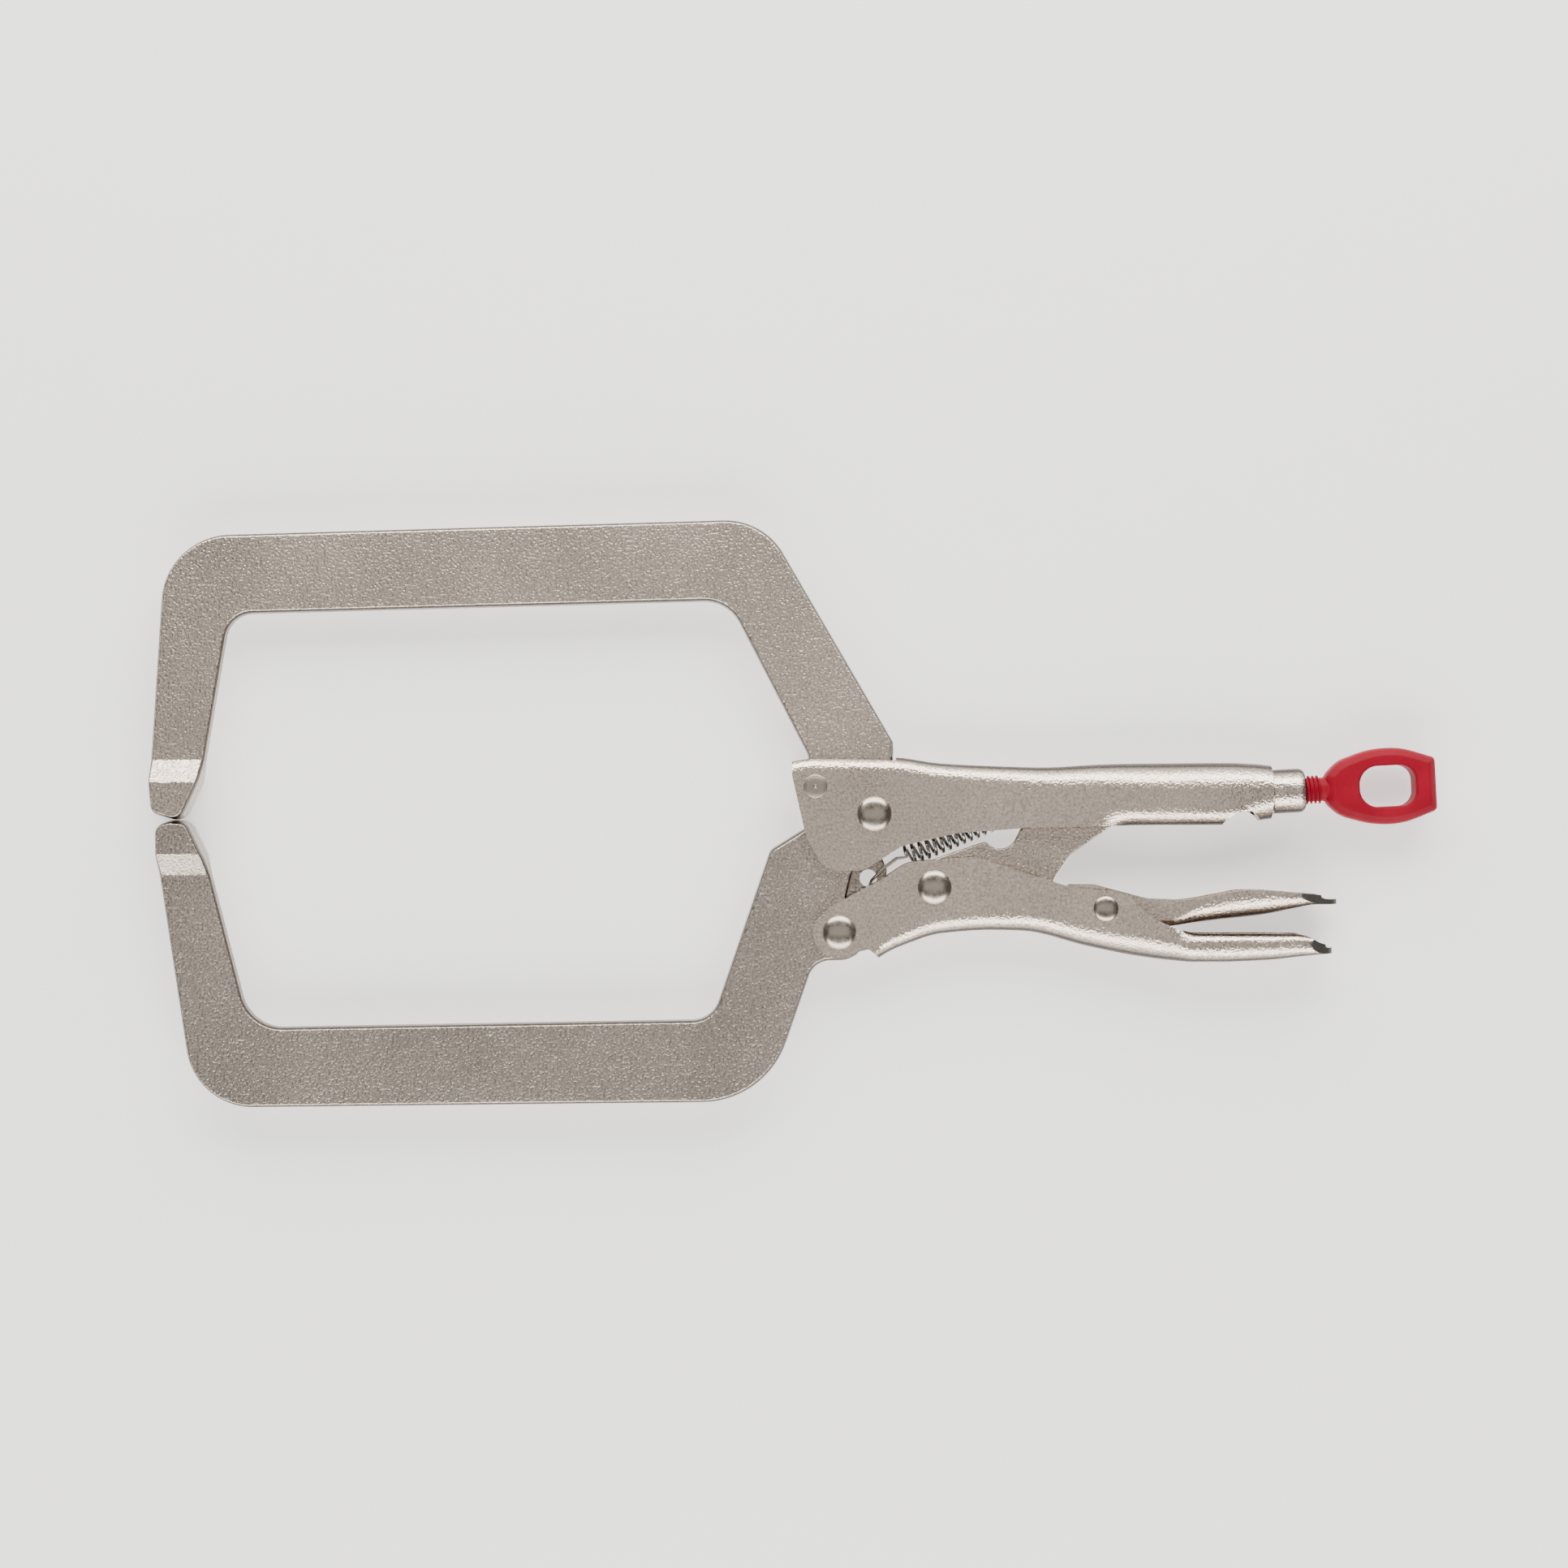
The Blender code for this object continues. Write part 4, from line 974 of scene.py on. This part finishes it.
def make_adjusting_screw():
    """Inner length of the screw with its thread and turned-down tip."""
    core = turned("screw_shank", [
        (0.0, SHANK_END), (THREAD_ROOT_R - 0.4, SHANK_END), (THREAD_ROOT_R, SHANK_END - 0.4),
        (THREAD_ROOT_R, SHANK_START + 4.0), (SHANK_TIP_R, SHANK_START + 2.2),
        (SHANK_TIP_R, SHANK_START + 0.4), (SHANK_TIP_R - 0.4, SHANK_START), (0.0, SHANK_START),
    ])
    first = SHANK_START + SHANK_PLAIN
    turns = int((SHANK_END - THREAD_MARGIN - first) / THREAD_PITCH)
    join(core, helical_ridge("shank_thread", first, turns, SHANK_THREAD_STEPS))
    place(along_screw(core), "screw", "adjusting_screw", [WIRE])


def make_screw_ring():
    """Forged ring with the outer, coated threads of the screw."""
    half = [
        (9.2, 5.0, 4.0), (14.0, 9.8, 13.0), (26.0, 13.7, 34.0), (36.5, 13.7, 28.0), (48.8, 9.4, 2.0),
    ]
    outline = half + [(u, -v, radius) for u, v, radius in reversed(half)]
    section = mirrored([
        (3.0, RING_HALF), (2.7, RING_HALF - 0.06), (2.35, RING_HALF - 0.25), (1.0, RING_HALF - 1.45),
        (0.5, RING_HALF - 2.1), (0.2, RING_HALF - 2.9), (0.0, RING_HALF - 4.2),
    ])
    ring = stack("ring_forging", outline, section)
    eye = [(21.2, 7.3, 6.6), (41.0, 7.3, 5.4), (41.0, -7.3, 5.4), (21.2, -7.3, 6.6)]
    flare = mirrored([
        (-1.5, RING_HALF + 0.9), (-0.75, RING_HALF - 0.1), (-0.35, RING_HALF - 0.5),
        (-0.1, RING_HALF - 1.0), (0.0, RING_HALF - 1.6),
    ])
    combine(ring, stack("ring_eye", eye, flare), "DIFFERENCE")
    core = turned("stub_core", [
        (0.0, 16.1), (5.7, 16.1), (5.6, 13.0), (5.2, 10.8), (4.7, 9.3), (THREAD_ROOT_R, 8.5),
        (THREAD_ROOT_R, STUB_START + 0.5), (THREAD_ROOT_R - 0.5, STUB_START), (0.0, STUB_START),
    ], STUB_STEPS)
    first = STUB_START + THREAD_MARGIN
    join(core, helical_ridge("stub_thread", first, STUB_TURNS, STUB_STEPS))
    core.data.transform(Matrix.Rotation(math.radians(STUB_TWIST), 4, "Z"))
    core.data.transform(Matrix.Rotation(math.radians(90.0), 4, "Y"))
    join(ring, core)
    ring.data.transform(Matrix.Rotation(SCREW_TILT, 4, "Z"))
    moved(ring, *SCREW_POINT)
    place(ring, "ring", "screw_ring", [RED], weighted=True)


# ---------------------------------------------------------------- spring

def spring_path():
    """Middle line of the wire about the main pivot: first hook, coils, second hook."""
    start = Vector(COIL_FROM)
    run = Vector(COIL_TO) - start
    axis = run.normalized()
    across = Vector((-axis.y, axis.x))
    hole = Vector((*SPRING_HOLE, 0.0))
    through_hole = ((0.6, -2.0, -3.0), (0.9, -1.4, 0.0), (1.4, -0.6, 3.4))
    points = [hole + Vector(offset) for offset in through_hole]
    points += [Vector((3.4, -19.4, 3.6)), Vector((8.0, -15.9, 3.5))]
    count = COIL_TURNS * COIL_STEPS
    for i in range(count + 1):
        turn = 2.0 * math.pi * i / COIL_STEPS
        centre = start + axis * (run.length * i / count)
        lift = across * (COIL_R * math.sin(turn))
        points.append(Vector((centre.x + lift.x, centre.y + lift.y, COIL_R * math.cos(turn))))
    points += [Vector((59.8, 6.6, 3.2)), Vector((63.0, 9.0, 2.0))]
    points += [Vector((63.6, 9.5, 0.0)), Vector((63.9, 9.6, -2.6))]
    return points


def make_spring():
    """Round-wire coil from the tab of the lower jaw to the lug inside the handle."""
    points = spring_path()
    curve = bpy.data.curves.new("coil_wire", "CURVE")
    curve.dimensions = "3D"
    curve.bevel_depth = WIRE_R * MM
    curve.bevel_resolution = 4
    curve.use_fill_caps = True
    spline = curve.splines.new("POLY")
    spline.points.add(len(points) - 1)
    for target, point in zip(spline.points, points):
        target.co = (*(point * MM), 1.0)
    shape = add_object("coil_curve", curve)
    spring = add_object("coil_wire", evaluated_mesh(shape))
    bpy.data.objects.remove(shape, do_unlink=True)
    dress(spring, [WIRE])
    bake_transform(spring)
    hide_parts("return_spring")


make_upper_jaw()
make_upper_handle()
make_jaw_pin()
rivet("main_rivet_head", "main_rivet", MAIN_PIVOT, "handle", MAIN_HEAD_R)
make_collar()
make_spring()
make_lower_jaw()
make_lower_handle()
rivet("lever_rivet_head", "lever_rivet", LEVER_PIVOT, "lever")
rivet("link_rivet_head", "link_rivet", LINK_PIVOT, "lever")
rivet(
    "release_rivet_head", "release_rivet", RELEASE_PIVOT, "lever", SMALL_HEAD_R, SMALL_HEAD_RISE,
    SMALL_SHANK_R)
make_toggle_link()
make_release_lever()
make_adjusting_screw()
make_screw_ring()


# ---------------------------------------------------------------- stage

FLOOR_HALF_M = 8.0
LAMP_COLOUR = (1.0, 0.965, 0.915)
# Soft boxes that face the clamp: name, place in metres, width and depth in metres, power in watts
SOFT_BOXES = (
    ("soft_top", (0.0, 1.05, 0.66), (2.0, 0.85), 38.0),
    ("soft_bottom", (0.0, -1.05, 0.66), (2.0, 0.85), 29.0),
    ("soft_overhead", (0.0, 0.0, 1.5), (1.8, 0.7), 2.2),
)
WORLD_COLOUR = (0.80, 0.80, 0.80, 1.0)
WORLD_STRENGTH = 0.10
# Camera straight above the clamp; its height is in metres over the mid-plane
CAMERA_AIM = (-32.2, 10.6)
CAMERA_HEIGHT = 1.3
CAMERA_LENS = 83.4
CAMERA_SENSOR = 36.0


def make_floor():
    """Pale matt paper under the clamp."""
    mesh = bpy.data.meshes.new("floor")
    low = -FLOOR_HALF_M
    high = FLOOR_HALF_M
    corners = [(low, low, 0.0), (high, low, 0.0), (high, high, 0.0), (low, high, 0.0)]
    mesh.from_pydata(corners, [], [(0, 1, 2, 3)])
    mat, tree, shader, coords = new_material("floor_paper")
    paper = noise(tree, coords, scale=60.0, detail=3.0, roughness=0.5)
    tint = mix_colours(tree, paper, (0.90, 0.90, 0.90), (0.93, 0.93, 0.93))
    tree.links.new(tint, shader.inputs["Base Color"])
    shader.inputs["Roughness"].default_value = 0.9
    shader.inputs["Emission Color"].default_value = (1.0, 1.0, 1.0, 1.0)
    shader.inputs["Emission Strength"].default_value = 0.9
    mesh.materials.append(mat)
    add_object("floor", mesh)


def make_soft_box(name, location, size, power):
    """A rectangular lamp turned toward the middle of the scene."""
    data = bpy.data.lights.new(name, "AREA")
    data.shape = "RECTANGLE"
    data.size, data.size_y = size
    data.energy = power
    data.color = LAMP_COLOUR
    toward = Vector((0.0, 0.0, 0.0)) - Vector(location)
    lamp = add_object(name, data)
    lamp.location = location
    lamp.rotation_euler = toward.to_track_quat("-Z", "Y").to_euler()


def make_world():
    world = bpy.data.worlds.new("studio")
    world.use_nodes = True
    background = world.node_tree.nodes["Background"]
    background.inputs["Color"].default_value = WORLD_COLOUR
    background.inputs["Strength"].default_value = WORLD_STRENGTH
    bpy.context.scene.world = world


def make_camera():
    data = bpy.data.cameras.new("camera")
    data.sensor_width = CAMERA_SENSOR
    data.lens = CAMERA_LENS
    camera = add_object("camera", data)
    camera.location = ORIGIN + Vector((CAMERA_AIM[0] * MM, CAMERA_AIM[1] * MM, CAMERA_HEIGHT))
    bpy.context.scene.camera = camera


make_floor()
for soft_box in SOFT_BOXES:
    make_soft_box(*soft_box)
make_world()
make_camera()
